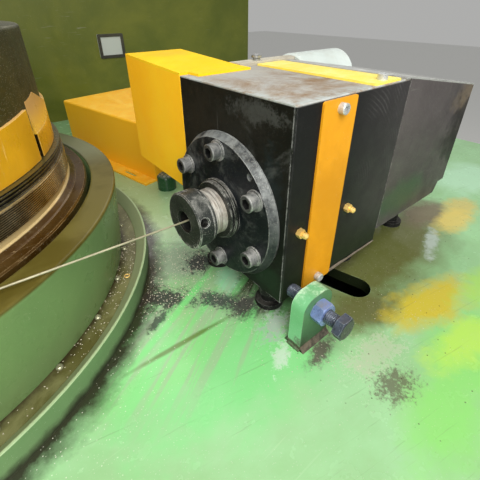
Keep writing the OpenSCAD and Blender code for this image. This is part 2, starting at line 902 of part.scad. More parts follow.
module rail_knob() {
    color("#b4b6b8")
    translate([block_x + guard_l + 0.35 * rail_l, block_left + rail_t / 2, block_top + rail_up])
        rotate_extrude()
            polygon([[0, 0], [5.5, 0], [5.5, 2.5], [8, 4], [8, 7], [6.5, 8.5], [0, 9]]);
}

// Open-topped box for the drawing soap, with a sloping rim and a stepped rear foot
module soap_box() {
    step_x = soap_l - soap_step;
    color("#2a2b2d")
    difference() {
        translate([block_end, block_left, 0])
            rotate([90, 0, 0])
                linear_extrude(block_w)
                    polygon([[0, soap_z], [step_x, soap_z], [step_x + soap_rise / 2, soap_z + soap_rise],
                        [soap_l, soap_z + soap_rise], [soap_l, soap_top], [0, block_top]]);
        translate([block_end + soap_t, block_y + soap_t, soap_z + soap_rise + soap_t])
            cube([soap_l - 2 * soap_t, block_w - 2 * soap_t, block_h]);
        bar_x(block_end - cut, soap_t + 2 * cut, sleeve_bore, wire_y, wire_z);
        bar_x(soap_end - soap_t - cut, soap_t + 2 * cut, wire_r, wire_y, wire_z);
    }
}

// Lid that lies on the block's rear edge and slopes down over the soap box
module soap_lid() {
    color("#8f9296")
    translate([block_end, block_left, 0])
        rotate([90, 0, 0])
            linear_extrude(block_w)
                polygon([[-lid_over, block_top], [0, block_top], [soap_l, soap_top], [soap_l, soap_top + lid_t],
                    [0, block_top + lid_t], [-lid_over, block_top + lid_t]]);
}

// Round motor carried on the soap box's far side by a flat pad
module side_motor() {
    y = block_left + motor_r + 6;
    z = block_top - motor_drop;
    color("#c3ccc4")
    union() {
        translate([block_x + motor_x, y, z])
            rotate([0, 90, 0])
                rotate_extrude()
                    polygon([[0, 4], [motor_r - 9, 4], [motor_r - 7, 0], [motor_r - 3, 0], [motor_r, 3],
                        [motor_r, motor_l - 8], [motor_r - 8, motor_l], [0, motor_l]]);
        translate([block_x + motor_x + 20, block_left, z - 20])
            cube([motor_l - 40, motor_r / 2, 40]);
    }
}

module soap_stand() {
    color("#1f1f20")
    for (y = [block_y + foot_y, block_left - foot_y])
        translate([soap_end - soap_step - foot_r - 30, y, deck_h])
            union() {
                cylinder(h = soap_gap, r = stud_r);
                cylinder(h = 8, r = foot_r);
                translate([0, 0, soap_gap - 16])
                    cylinder(h = 16, r = 1.45 * stud_r, $fn = 6);
            }
}

// Sheet guard beside the block, open below, whose top and lower edge rise away from the block
module belt_guard() {
    h = block_top - guard_z;
    color("#f2a51c")
    difference() {
        translate([block_x, block_left, guard_z])
            rotate([90, 0, 90])
                linear_extrude(guard_l)
                    polygon([[0, 0], [guard_w, guard_low_rise], [guard_w, h + guard_rise], [0, h]]);
        translate([block_x + guard_t, block_left + guard_t, guard_z - cut])
            cube([guard_l - 2 * guard_t, guard_w - 2 * guard_t, h + guard_rise + 2 * cut]);
    }
}

// Sloping lid on the guard with a flat flap over the block
module guard_lid() {
    color("#f7b023")
    union() {
        translate([block_x, block_left, block_top])
            rotate([90, 0, 90])
                linear_extrude(guard_l)
                    polygon([[0, 0], [guard_w, guard_rise], [guard_w, guard_rise + guard_lid_t],
                        [0, guard_lid_t]]);
        translate([block_x + flap_x, block_left - guard_over, block_top])
            cube([guard_l - flap_x, guard_over + cut, guard_lid_t]);
    }
}

// Low guard box on the deck, with folded edges and a slotted foot flange
module drive_duct() {
    r = duct_fold;
    color("#f2a51c")
    translate([duct_x, duct_y, deck_h])
        rotate([0, 0, duct_turn])
            difference() {
                union() {
                    rotate([90, 0, 180])
                        linear_extrude(duct_w)
                            mirror([1, 0])
                                union() {
                                    square([duct_l, duct_h - r]);
                                    translate([r, 0])
                                        square([duct_l - r, duct_h]);
                                    translate([r, duct_h - r])
                                        circle(r = r);
                                }
                    translate([-duct_foot, 0, 0])
                        cube([duct_foot + cut, duct_w, duct_t]);
                }
                for (y = [duct_slot_in, duct_w - duct_slot_in])
                    translate([-duct_foot / 2 - duct_slot_w / 2, y - duct_slot_l / 2, -cut])
                        linear_extrude(duct_t + 2 * cut)
                            round_plate(duct_slot_w, duct_slot_l, duct_slot_w / 2 - 0.01);
            }
}

// Bracket plate with round upper corners, from its face at y = 0 towards +Y, with welds at its foot
module bracket() {
    r = jack_round;
    difference() {
        union() {
            translate([0, jack_t, 0])
                rotate([90, 0, 0])
                    linear_extrude(jack_t)
                        union() {
                            square([jack_w, jack_h - r]);
                            translate([r, 0])
                                square([jack_w - 2 * r, jack_h]);
                            for (x = [r, jack_w - r])
                                translate([x, jack_h - r])
                                    circle(r = r);
                        }
            rotate([90, 0, 90])
                linear_extrude(jack_w)
                    polygon([[-weld, 0], [jack_t + weld, 0], [jack_t, weld], [0, weld]]);
        }
        translate([jack_w / 2, -cut, jack_bolt_h])
            rotate([-90, 0, 0])
                cylinder(h = jack_t + 2 * cut, r = jack_bolt_d / 2 + jack_fit);
    }
}

// Lock nut from z = 0 upwards
module lock_nut() {
    face_r = 0.45 * jack_hex;
    side_r = 0.52 * jack_hex;
    edge = 0.07 * jack_hex;
    difference() {
        intersection() {
            cylinder(h = jack_nut_h, d = jack_hex, $fn = 6);
            rotate_extrude()
                polygon([[0, 0], [face_r, 0], [side_r, edge], [side_r, jack_nut_h - edge],
                    [face_r, jack_nut_h], [0, jack_nut_h]]);
        }
        translate([0, 0, -cut])
            cylinder(h = jack_nut_h + 2 * cut, r = jack_bolt_d / 2 + jack_fit);
    }
}

// Hexagon bolt with its head's outer face at z = 0 and its shank upwards
module hex_bolt(len) {
    union() {
        intersection() {
            cylinder(h = jack_head_h, d = jack_hex, $fn = 6);
            rotate_extrude()
                polygon([[0, 0], [0.44 * jack_hex, 0], [0.52 * jack_hex, 0.08 * jack_hex],
                    [0.52 * jack_hex, jack_head_h], [0, jack_head_h]]);
        }
        rotate_extrude()
            polygon([[0, 0.5 * jack_head_h], [jack_bolt_d / 2, 0.5 * jack_head_h], [jack_bolt_d / 2, len - 2],
                [jack_bolt_d / 2 - 2, len], [0, len]]);
    }
}

module jack_bracket() {
    color("#84c49a")
    translate([block_x - jack_x, near_face, deck_h])
        bracket();
}

module jack_nut() {
    color("#23303f")
    translate([jack_px, near_face, jack_z])
        rotate([90, 0, 0])
            lock_nut();
}

module jack_bolt() {
    len = jack_y + jack_nut_h + jack_free + jack_head_h - jack_tip;
    color("#23303f")
    translate([jack_px, block_y - jack_tip - len, jack_z])
        rotate([-90, 0, 0])
            hex_bolt(len);
}

// Wire from the soap box's rear wall through the die, then rising to the capstan
module drawn_wire() {
    rise = atan(wire_rise / nut_x);
    color("#b0aca4")
    union() {
        bar_x(nut_x, soap_end - nut_x, wire_r, wire_y, wire_z);
        translate([nut_x, wire_y, wire_z])
            sphere(r = wire_r);
        translate([nut_x, wire_y, wire_z])
            rotate([0, rise - 90, 0])
                cylinder(h = (nut_x - wire_end) / cos(rise), r = wire_r);
    }
}

plinth();
front_panel();
rear_panel();
left_panel();
right_panel();
deck();
deck_boss();
rear_housing();
housing_window();
trough_lip();
capstan_base();
spindle();
capstan_shell();
wire_coils();
grooved_band();
capstan_core();
capstan_segments();
capstan_cap();
die_block();
block_feet();
flange_plate();
flange_screws();
seal_collar();
die_sleeve();
die_nut();
side_strap();
top_strap();
strap_screws();
brass_nipples();
side_gasket();
block_rail();
rail_knob();
soap_box();
soap_lid();
side_motor();
soap_stand();
belt_guard();
guard_lid();
drive_duct();
jack_bracket();
jack_nut();
jack_bolt();
drawn_wire();
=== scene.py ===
"""Looks of a single-block wire drawing machine.

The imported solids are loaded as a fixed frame. Each sub-assembly is a class that paints its
solids and adds the fine pieces that the solids leave out, such as threads, turns of wire,
weld beads and spilt drawing soap. Lengths are in metres.
"""
import logging
import math
import random
from dataclasses import dataclass, field
from enum import Enum
from typing import Callable, Iterable, Sequence

import bmesh
import bpy
from mathutils import Matrix, Vector


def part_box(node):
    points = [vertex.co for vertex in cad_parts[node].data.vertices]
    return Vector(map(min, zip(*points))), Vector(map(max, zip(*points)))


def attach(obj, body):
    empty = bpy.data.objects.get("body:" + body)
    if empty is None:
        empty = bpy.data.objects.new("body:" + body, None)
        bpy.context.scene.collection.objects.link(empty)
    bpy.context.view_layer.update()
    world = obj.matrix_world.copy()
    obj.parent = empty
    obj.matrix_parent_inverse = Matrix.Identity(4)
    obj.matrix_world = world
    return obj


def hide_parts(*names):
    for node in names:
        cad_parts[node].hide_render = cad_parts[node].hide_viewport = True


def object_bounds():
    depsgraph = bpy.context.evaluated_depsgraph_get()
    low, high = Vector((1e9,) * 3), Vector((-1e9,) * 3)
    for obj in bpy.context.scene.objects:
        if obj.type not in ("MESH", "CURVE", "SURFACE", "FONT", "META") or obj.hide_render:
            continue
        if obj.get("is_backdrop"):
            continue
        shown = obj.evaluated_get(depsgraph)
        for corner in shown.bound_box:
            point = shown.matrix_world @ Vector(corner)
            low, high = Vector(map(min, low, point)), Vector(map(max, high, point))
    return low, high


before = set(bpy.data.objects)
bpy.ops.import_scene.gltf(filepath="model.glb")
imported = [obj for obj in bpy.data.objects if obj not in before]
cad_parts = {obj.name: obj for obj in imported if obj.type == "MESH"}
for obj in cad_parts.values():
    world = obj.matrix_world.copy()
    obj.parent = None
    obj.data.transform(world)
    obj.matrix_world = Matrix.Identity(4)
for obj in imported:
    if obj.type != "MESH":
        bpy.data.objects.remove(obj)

LOG = logging.getLogger("wire_drawing_machine")
Colour = tuple[float, float, float]
Point = tuple[float, float, float]
Socket = bpy.types.NodeSocket
Form = tuple[list[Vector], list[tuple[int, ...]]]
Profile = list[tuple[float, float]]
DECK_TOP = 0.85


class Body(Enum):
    """Bodies of the machine that a piece of the scene rides on."""

    MACHINE = "machine"
    CAPSTAN = "capstan"
    JACK = "jack_screw"


class Sheen(Enum):
    """Roughness of a surface when it is clean."""

    OILY = 0.20
    GLOSS = 0.30
    SATIN = 0.42
    WORN = 0.52
    MATT = 0.72


@dataclass(frozen=True)
class Finish:
    """A finish with the wear and dirt that lie on it.

    Args:
        slot: Material slot of the record.
        colour: Main colour.
        second: Colour of the soft patches.
        sheen: How glossy the clean surface is.
        metal: Share of bare metal.
        patch: Patches per metre.
        grime: Colour of the dirt.
        grime_amount: Share of the surface under dirt.
        grime_scale: Dirt marks per metre.
        top_dust_and_light: Colour laid on upward faces, a dusting on most finishes and a painted highlight on
            some.
        top_dust_and_light_amount: Share of that colour on upward faces.
        specks: Share of small pale specks.
        speck_scale: Specks per metre.
        scratch: Strength of the scratches.
        scratch_axis: Axis along which the scratches run.
        edge: Colour of worn edges.
        edge_amount: Share of worn edge.
        edge_width: Width of the worn edge.
        grain: Depth of the fine grain.
        grain_scale: Grains per metre.
        shine: How strongly the clear skin of the finish mirrors.
    """

    slot: str
    colour: Colour
    second: Colour
    sheen: Sheen = Sheen.SATIN
    metal: float = 0.0
    patch: float = 5.0
    grime: Colour = (0.02, 0.017, 0.010)
    grime_amount: float = 0.25
    grime_scale: float = 14.0
    top_dust_and_light: Colour = (0.45, 0.43, 0.36)
    top_dust_and_light_amount: float = 0.15
    specks: float = 0.10
    speck_scale: float = 900.0
    scratch: float = 0.3
    scratch_axis: int = 0
    edge: Colour = (0.42, 0.42, 0.40)
    edge_amount: float = 0.5
    edge_width: float = 0.0015
    grain: float = 0.10
    grain_scale: float = 900.0
    shine: float = 0.4


@dataclass(frozen=True)
class Stain:
    """A soft-edged mark at a place on a surface.

    Args:
        centre: Middle of the mark.
        reach: Half sizes along X, Y and Z.
        colour: Colour of the mark.
        amount: Strength at its middle.
        turn: Turn about Z in degrees.
        ragged: How uneven its edge is.
        pepper: How far fine grains break it up.
        rough: Roughness inside the mark, or None to keep the surface's own.
    """

    centre: Point
    reach: Point
    colour: Colour
    amount: float = 0.8
    turn: float = 0.0
    ragged: float = 0.5
    pepper: float = 0.0
    rough: float | None = None


class Shader:
    """Lays down the nodes of one procedural material."""

    def __init__(self, name: str) -> None:
        """Starts an empty material.

        Args:
            name: Name of the material.
        """
        self.material = bpy.data.materials.new(name)
        self.material.use_nodes = True
        self.tree = self.material.node_tree
        self.tree.nodes.clear()
        self.output = self.tree.nodes.new("ShaderNodeOutputMaterial")
        self.surface = self.tree.nodes.new("ShaderNodeBsdfPrincipled")
        self.tree.links.new(self.surface.outputs[0], self.output.inputs["Surface"])
        self.place = self.tree.nodes.new("ShaderNodeTexCoord").outputs["Object"]
        self.count = 0

    def feed(self, socket: Socket, value: Socket | float | Sequence[float]) -> None:
        """Links or sets an input.

        Args:
            socket: The input.
            value: A socket, a number or a colour.
        """
        if isinstance(value, bpy.types.NodeSocket):
            self.tree.links.new(value, socket)
        elif isinstance(value, (int, float)):
            socket.default_value = value
        elif len(socket.default_value) == 4:
            socket.default_value = (*value, 1.0)
        else:
            socket.default_value = value

    def moved(self, stretch: Point = (1, 1, 1), turn: Point = (0, 0, 0)) -> Socket:
        """Gives the place, stretched, turned and shifted by an offset that differs with each call.

        Args:
            stretch: Scale along each axis.
            turn: Turn in degrees about each axis.

        Returns:
            The changed place.
        """
        self.count += 1
        node = self.tree.nodes.new("ShaderNodeMapping")
        self.feed(node.inputs["Vector"], self.place)
        self.feed(node.inputs["Location"], (self.count * 3.71, self.count * 1.93, self.count * 2.57))
        self.feed(node.inputs["Rotation"], tuple(math.radians(a) for a in turn))
        self.feed(node.inputs["Scale"], stretch)
        return node.outputs[0]

    def noise(self, scale: float, detail: float = 5.0, rough: float = 0.6, stretch: Point = (1, 1, 1),
              turn: Point = (0, 0, 0), warp: float = 0.0) -> Socket:
        """Gives soft noise from 0 to 1.

        Args:
            scale: Features per metre.
            detail: Octaves.
            rough: Weight of the fine octaves.
            stretch: Scale along each axis.
            turn: Turn in degrees.
            warp: Distortion.

        Returns:
            The noise.
        """
        node = self.tree.nodes.new("ShaderNodeTexNoise")
        self.feed(node.inputs["Vector"], self.moved(stretch, turn))
        for key, value in (("Scale", scale), ("Detail", detail), ("Roughness", rough), ("Distortion", warp)):
            self.feed(node.inputs[key], value)
        return node.outputs[0]

    def facing(self, axis: int, low: float, high: float) -> Socket:
        """Gives how far the surface faces along an axis.

        Args:
            axis: Number of the axis.
            low: Share of the direction that gives 0.
            high: Share of the direction that gives 1.

        Returns:
            A mask.
        """
        true = self.tree.nodes.new("ShaderNodeNewGeometry")
        split = self.tree.nodes.new("ShaderNodeSeparateXYZ")
        self.feed(split.inputs[0], true.outputs["True Normal"])
        return self.spread(split.outputs[axis], low, high)

    def strokes(self, scale: float, turn: float, long: float) -> Socket:
        """Gives noise drawn out along one direction on the deck.

        Args:
            scale: Strokes per metre across.
            turn: Direction about Z in degrees.
            long: How many times longer than wide they are.

        Returns:
            The noise.
        """
        self.count += 1
        node = self.tree.nodes.new("ShaderNodeMapping")
        node.vector_type = "TEXTURE"
        self.feed(node.inputs["Vector"], self.place)
        self.feed(node.inputs["Location"], (self.count * 0.37, self.count * 0.29, 0.0))
        self.feed(node.inputs["Rotation"], (0.0, 0.0, math.radians(turn)))
        self.feed(node.inputs["Scale"], (long, 1.0, 1.0))
        noise = self.tree.nodes.new("ShaderNodeTexNoise")
        self.feed(noise.inputs["Vector"], node.outputs[0])
        for key, value in (("Scale", scale), ("Detail", 4.0), ("Roughness", 0.6)):
            self.feed(noise.inputs[key], value)
        return noise.outputs[0]

    def cells(self, scale: float) -> tuple[Socket, Socket]:
        """Gives the distance to the nearest cell centre and a value that differs by cell.

        Args:
            scale: Cells per metre.

        Returns:
            Distance and value.
        """
        node = self.tree.nodes.new("ShaderNodeTexVoronoi")
        self.feed(node.inputs["Vector"], self.moved())
        self.feed(node.inputs["Scale"], scale)
        split = self.tree.nodes.new("ShaderNodeSeparateColor")
        self.feed(split.inputs[0], node.outputs["Color"])
        return node.outputs["Distance"], split.outputs[0]

    def spread(self, value: Socket, low: float, high: float, to_low: float = 0.0,
               to_high: float = 1.0) -> Socket:
        """Maps a range smoothly and clamps it.

        Args:
            value: The input.
            low: Input that gives to_low.
            high: Input that gives to_high.
            to_low: First output.
            to_high: Last output.

        Returns:
            The mapped value.
        """
        node = self.tree.nodes.new("ShaderNodeMapRange")
        node.interpolation_type = "SMOOTHSTEP" if low < high else "LINEAR"
        node.clamp = True
        for key, item in zip(range(5), (value, low, high, to_low, to_high)):
            self.feed(node.inputs[key], item)
        return node.outputs[0]

    def calc(self, kind: str, first: Socket | float, second: Socket | float = 0.0,
             clamp: bool = False) -> Socket:
        """Does one sum.

        Args:
            kind: Operation.
            first: First value.
            second: Second value.
            clamp: Whether to keep the result between 0 and 1.

        Returns:
            The result.
        """
        node = self.tree.nodes.new("ShaderNodeMath")
        node.operation = kind
        node.use_clamp = clamp
        self.feed(node.inputs[0], first)
        self.feed(node.inputs[1], second)
        return node.outputs[0]

    def times(self, *values: Socket | float) -> Socket:
        """Multiplies two or more values, the first two first."""
        product = values[0]
        for value in values[1:]:
            product = self.calc("MULTIPLY", product, value)
        return product

    def hypot(self, first: Socket, second: Socket) -> Socket:
        """Gives the length that spans two sides at a right angle."""
        return self.calc("SQRT", self.calc("ADD", self.times(first, first), self.times(second, second)))

    def lean(self, share: Socket, first: Socket, second: float) -> Socket:
        """Moves a number towards another by a share.

        Args:
            share: How far.
            first: Where it starts.
            second: Where it ends.

        Returns:
            The number between.
        """
        keep = self.calc("SUBTRACT", 1.0, share)
        return self.calc("ADD", self.times(first, keep), self.times(share, second))

    def blend(self, share: Socket | float, first: Socket | Colour, second: Socket | Colour) -> Socket:
        """Mixes two colours.

        Args:
            share: Share of the second colour.
            first: First colour.
            second: Second colour.

        Returns:
            The mixed colour.
        """
        node = self.tree.nodes.new("ShaderNodeMix")
        node.data_type = "RGBA"
        node.clamp_factor = True
        self.feed(node.inputs[0], share)
        self.feed(node.inputs[6], first)
        self.feed(node.inputs[7], second)
        return node.outputs[2]

    def edges(self, width: float) -> Socket:
        """Gives 1 on sharp edges and 0 on flats.

        Args:
            width: Width of the edge.

        Returns:
            The edge mask.
        """
        bevel = self.tree.nodes.new("ShaderNodeBevel")
        bevel.samples = 4
        self.feed(bevel.inputs["Radius"], width)
        true = self.tree.nodes.new("ShaderNodeNewGeometry")
        dot = self.tree.nodes.new("ShaderNodeVectorMath")
        dot.operation = "DOT_PRODUCT"
        self.feed(dot.inputs[0], bevel.outputs[0])
        self.feed(dot.inputs[1], true.outputs["Normal"])
        return self.spread(dot.outputs["Value"], 0.999, 0.90)

    def upward(self) -> Socket:
        """Gives 1 on faces that look up."""
        return self.facing(2, 0.4, 0.95)

    def axis(self, index: int) -> Socket:
        """Gives one coordinate of the place."""
        split = self.tree.nodes.new("ShaderNodeSeparateXYZ")
        self.feed(split.inputs[0], self.place)
        return split.outputs[index]

    def radius(self) -> Socket:
        """Gives the distance from the capstan's axis."""
        return self.hypot(self.axis(0), self.axis(1))

    def mark(self, stain: Stain) -> Socket:
        """Gives the mask of a stain.

        Args:
            stain: The stain.

        Returns:
            1 at its middle and 0 outside.
        """
        away = self.tree.nodes.new("ShaderNodeVectorMath")
        away.operation = "SUBTRACT"
        self.feed(away.inputs[0], self.place)
        self.feed(away.inputs[1], stain.centre)
        node = self.tree.nodes.new("ShaderNodeMapping")
        node.vector_type = "TEXTURE"
        self.feed(node.inputs["Vector"], away.outputs[0])
        self.feed(node.inputs["Rotation"], (0, 0, math.radians(stain.turn)))
        self.feed(node.inputs["Scale"], stain.reach)
        size = self.tree.nodes.new("ShaderNodeVectorMath")
        size.operation = "LENGTH"
        self.feed(size.inputs[0], node.outputs[0])
        wave = self.noise(3.0 / max(stain.reach[0], stain.reach[1]), 4.0, 0.65, warp=0.3)
        loose = self.times(self.calc("SUBTRACT", wave, 0.5), 2.2 * stain.ragged)
        far = self.calc("ADD", size.outputs["Value"], loose)
        if stain.pepper > 0:
            grains = self.calc("SUBTRACT", self.noise(240.0, 6.0, 0.8), 0.5)
            far = self.calc("ADD", far, self.times(grains, 3.0 * stain.pepper))
        return self.spread(far, 1.05, 0.45, 0.0, stain.amount)

    def bump(self, height: Socket, distance: float, strength: float) -> Socket:
        """Turns a height into a normal.

        Args:
            height: Height from 0 to 1.
            distance: Full depth.
            strength: Share of it.

        Returns:
            The normal.
        """
        node = self.tree.nodes.new("ShaderNodeBump")
        self.feed(node.inputs["Height"], height)
        self.feed(node.inputs["Distance"], distance)
        self.feed(node.inputs["Strength"], strength)
        return node.outputs[0]


@dataclass
class Coat:
    """Colour, roughness and height of a surface while its layers are laid.

    Args:
        sh: Lays down the nodes.
        colour: Colour so far.
        rough: Roughness so far.
        height: Height so far.
    """

    sh: Shader
    colour: Socket
    rough: Socket
    height: Socket

    def tint(self, mask: Socket, colour: Socket | Colour, share: float | None = None) -> None:
        """Lays a colour on.

        Args:
            mask: 1 where the colour lies.
            colour: The colour.
            share: How well it covers, or None for fully.
        """
        cover = mask if share is None else self.sh.times(mask, share)
        self.colour = self.sh.blend(cover, self.colour, colour)

    def polish(self, mask: Socket, rough: float) -> None:
        """Moves the roughness to a value where a mask is 1."""
        self.rough = self.sh.lean(mask, self.rough, rough)

    def lift(self, shape: Socket, amount: float) -> None:
        """Adds a shape to the height."""
        self.height = self.sh.calc("ADD", self.height, self.sh.times(shape, amount))

    def stain(self, mark: Stain) -> None:
        """Lays a stain on, with its roughness where it has one."""
        mask = self.sh.mark(mark)
        self.tint(mask, mark.colour)
        if mark.rough is not None:
            self.polish(mask, mark.rough)


Dressing = Callable[[Coat], None]
Placer = Callable[[float, float, float], Vector]


class Painter:
    """Turns finishes into materials and lays them on the solids."""

    def __init__(self) -> None:
        """Starts with no materials."""
        self.made: dict[tuple[Finish, str], bpy.types.Material] = {}

    def layers(self, sh: Shader, finish: Finish, stains: Sequence[Stain]) -> Coat:
        """Builds colour, roughness and height of a finish.

        Args:
            sh: Lays down the nodes.
            finish: The finish.
            stains: Marks on top.

        Returns:
            The coat.
        """
        soft = sh.noise(finish.patch, 6.0, 0.62, warp=0.4)
        base = sh.blend(sh.spread(soft, 0.35, 0.68), finish.colour, finish.second)
        sheen = finish.sheen.value
        rough = sh.spread(sh.noise(finish.patch * 6, 4.0), 0.3, 0.7, sheen - 0.07, sheen + 0.09)
        coat = Coat(sh, base, rough, rough)
        long = [1.0, 1.0, 1.0]
        long[finish.scratch_axis] = 0.035
        lines = sh.noise(420.0, 3.0, 0.5, tuple(long), (8, -11, 17))
        more = sh.noise(260.0, 2.0, 0.5, tuple(long), (-31, 24, -40))
        worn = sh.spread(sh.noise(9.0, 3.0), 0.45, 0.62)
        both = sh.calc("MAXIMUM", sh.spread(lines, 0.66, 0.72), sh.spread(more, 0.70, 0.75))
        scratch = sh.times(both, worn, finish.scratch)
        coat.tint(scratch, finish.edge)
        dirt = sh.noise(finish.grime_scale, 9.0, 0.72, warp=0.6)
        level = 0.72 - 0.34 * finish.grime_amount
        dirty = sh.spread(dirt, level, level + 0.16, 0.0, min(1.0, 0.35 + finish.grime_amount))
        coat.tint(dirty, finish.grime)
        for mark in stains:
            coat.stain(mark)
        # Upward faces take the finish's top colour: a dusting on most finishes, and a painted highlight on
        # the tops of the yellow duct, the segments and the mint bracket.
        powder = sh.spread(sh.noise(38.0, 8.0, 0.8), 0.42, 0.70)
        top_coat_mask = sh.times(powder, sh.upward(), finish.top_dust_and_light_amount)
        coat.tint(top_coat_mask, finish.top_dust_and_light)
        gap, pick = sh.cells(finish.speck_scale)
        few = sh.spread(pick, 1.0 - 0.55 * finish.specks - 0.001, 1.0 - 0.5 * finish.specks)
        grain = sh.times(sh.spread(gap, 0.34, 0.14), few)
        coat.tint(grain, (0.62, 0.60, 0.50), 0.6)
        rub = sh.times(sh.edges(finish.edge_width), sh.spread(sh.noise(70.0, 6.0, 0.7), 0.38, 0.60))
        coat.tint(rub, finish.edge, finish.edge_amount)
        soiled = sh.times(sh.calc("MAXIMUM", dirty, top_coat_mask), 0.25)
        coat.rough = sh.calc("ADD", coat.rough, soiled, clamp=True)
        fine = sh.noise(finish.grain_scale, 3.0, 0.6)
        relief = sh.times(sh.calc("SUBTRACT", dirty, scratch), 0.5)
        coat.height = sh.calc("ADD", sh.times(fine, 0.5), relief)
        return coat

    def material(self, finish: Finish, name: str = "", stains: Sequence[Stain] = (),
                 dressing: Dressing | None = None) -> bpy.types.Material:
        """Makes or reuses the material of a finish.

        Args:
            finish: The finish.
            name: Name of a variant for one piece.
            stains: Marks on that piece.
            dressing: Lays more on the coat.

        Returns:
            The material.
        """
        key = (finish, name)
        if key in self.made:
            return self.made[key]
        sh = Shader(f"{finish.slot}_{name}" if name else finish.slot)
        coat = self.layers(sh, finish, stains)
        if dressing is not None:
            dressing(coat)
        relief = sh.bump(coat.height, 0.0006, min(1.0, finish.grain * 4))
        inputs = {"Base Color": coat.colour, "Roughness": coat.rough, "Metallic": finish.metal,
                  "Specular IOR Level": finish.shine, "Normal": relief}
        for socket, value in inputs.items():
            sh.feed(sh.surface.inputs[socket], value)
        self.made[key] = sh.material
        return sh.material

    def dress(self, node: str, finish: Finish, name: str = "", stains: Sequence[Stain] = (),
              dressing: Dressing | None = None) -> None:
        """Lays a finish on a solid.

        Args:
            node: Name of the solid.
            finish: The finish.
            name: Name of a variant for this solid.
            stains: Marks on it.
            dressing: Lays more on the coat.
        """
        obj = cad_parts[node]
        obj.data.materials.clear()
        obj.data.materials.append(self.material(finish, name, stains, dressing))


def around(count: int) -> list[float]:
    """Gives even angles once round."""
    return [2 * math.pi * k / count for k in range(count)]


class Mesher:
    """Makes mesh pieces and hands them to their bodies."""

    @staticmethod
    def piece(name: str, form: Form, body: Body, slot: str, material: bpy.types.Material,
              stands_for: Sequence[str] = (), smooth_deg: float = 40.0) -> None:
        """Makes a piece from a form.

        Args:
            name: Name of the piece.
            form: Its points and faces.
            body: Body it rides on.
            slot: Material slot of the record; not used.
            material: Its material.
            stands_for: Solids that it replaces.
            smooth_deg: Sharpest angle that is shaded smoothly.
        """
        mesh = bpy.data.meshes.new(name)
        mesh.from_pydata(form[0], [], form[1])
        work = bmesh.new()
        work.from_mesh(mesh)
        bmesh.ops.recalc_face_normals(work, faces=work.faces)
        work.to_mesh(mesh)
        work.free()
        mesh.validate()
        mesh.polygons.foreach_set("use_smooth", [True] * len(mesh.polygons))
        mesh.set_sharp_from_angle(angle=math.radians(smooth_deg))
        mesh.materials.append(material)
        obj = bpy.data.objects.new(name, mesh)
        bpy.context.scene.collection.objects.link(obj)
        if stands_for:
            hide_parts(*stands_for)
        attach(obj, body.value)
        LOG.info("%s: %d faces on %s", name, len(mesh.polygons), body.value)

    @staticmethod
    def skin(rings: Sequence[Sequence[Vector]], loop: bool = False) -> Form:
        """Joins closed rings of points into a skin.

        Args:
            rings: Rings with the same number of points each.
            loop: Whether the last ring joins the first, or else both are capped.

        Returns:
            Points and faces.
        """
        verts = [v for ring in rings for v in ring]
        n = len(rings[0])
        faces: list[tuple[int, ...]] = []
        for i in range(len(rings) if loop else len(rings) - 1):
            a = i * n
            b = ((i + 1) % len(rings)) * n
            faces += [(a + j, a + (j + 1) % n, b + (j + 1) % n, b + j) for j in range(n)]
        if not loop:
            faces.append(tuple(reversed(range(n))))
            faces.append(tuple(range((len(rings) - 1) * n, len(rings) * n)))
        return verts, faces

    @staticmethod
    def lathe(profile: Sequence[tuple[float, float]], sides: int) -> Form:
        """Turns a closed profile about the capstan's axis.

        Args:
            profile: Radii and heights.
            sides: Steps round the axis.

        Returns:
            Points and faces.
        """
        rings = [[Vector((r * math.cos(a), r * math.sin(a), z)) for r, z in profile] for a in around(sides)]
        return Mesher.skin(rings, loop=True)

    @staticmethod
    def tube(path: Sequence[Vector], radius: float, sides: int) -> Form:
        """Makes a round tube along a path.

        Args:
            path: Points along its middle.
            radius: Its radius.
            sides: Sides round it.

        Returns:
            Points and faces.
        """
        rings = []
        for i, point in enumerate(path):
            ahead = path[min(i + 1, len(path) - 1)] - path[max(i - 1, 0)]
            ahead.normalize()
            side = ahead.cross(Vector((0, 0, 1)))
            side.normalize()
            up = side.cross(ahead)
            rings.append([point + radius * (math.cos(a) * side + math.sin(a) * up) for a in around(sides)])
        return Mesher.skin(rings)


def merged(forms: Iterable[Form]) -> Form:
    """Puts several forms in one.

    Args:
        forms: Points and faces of each.

    Returns:
        Points and faces of all.
    """
    verts: list[Vector] = []
    faces: list[tuple[int, ...]] = []
    for points, polys in forms:
        base = len(verts)
        verts.extend(points)
        faces.extend(tuple(i + base for i in poly) for poly in polys)
    return verts, faces


def edge_round(corner_r: float, top: float, radius: float, step: float, count: int) -> Profile:
    """Gives the points of a rounded upper edge, after the first, from the side to the top.

    Args:
        corner_r: Radius of the turned side below the edge.
        top: Height above the edge.
        radius: Radius of the rounding.
        step: Degrees from point to point.
        count: Number of points.

    Returns:
        Radii and heights.
    """
    return [(corner_r - radius + radius * math.cos(a), top - radius + radius * math.sin(a))
            for a in (math.radians(step * j) for j in range(1, count + 1))]


def deck_mark(x: float, y: float, long: float, wide: float, colour: Colour, amount: float, turn: float = 0.0,
              ragged: float = 0.5, pepper: float = 0.0, rough: float | None = None) -> Stain:
    """Gives a stain that lies flat on the deck.

    Args:
        x: Middle along X.
        y: Middle along Y.
        long: Half size along its length.
        wide: Half size across.
        colour: Colour of the mark.
        amount: Strength at its middle.
        turn: Turn about Z in degrees.
        ragged: How uneven its edge is.
        pepper: How far fine grains break it up.
        rough: Roughness inside the mark, or None to keep the surface's own.

    Returns:
        The stain.
    """
    return Stain((x, y, DECK_TOP), (long, wide, 1.0), colour, amount, turn, ragged, pepper, rough)
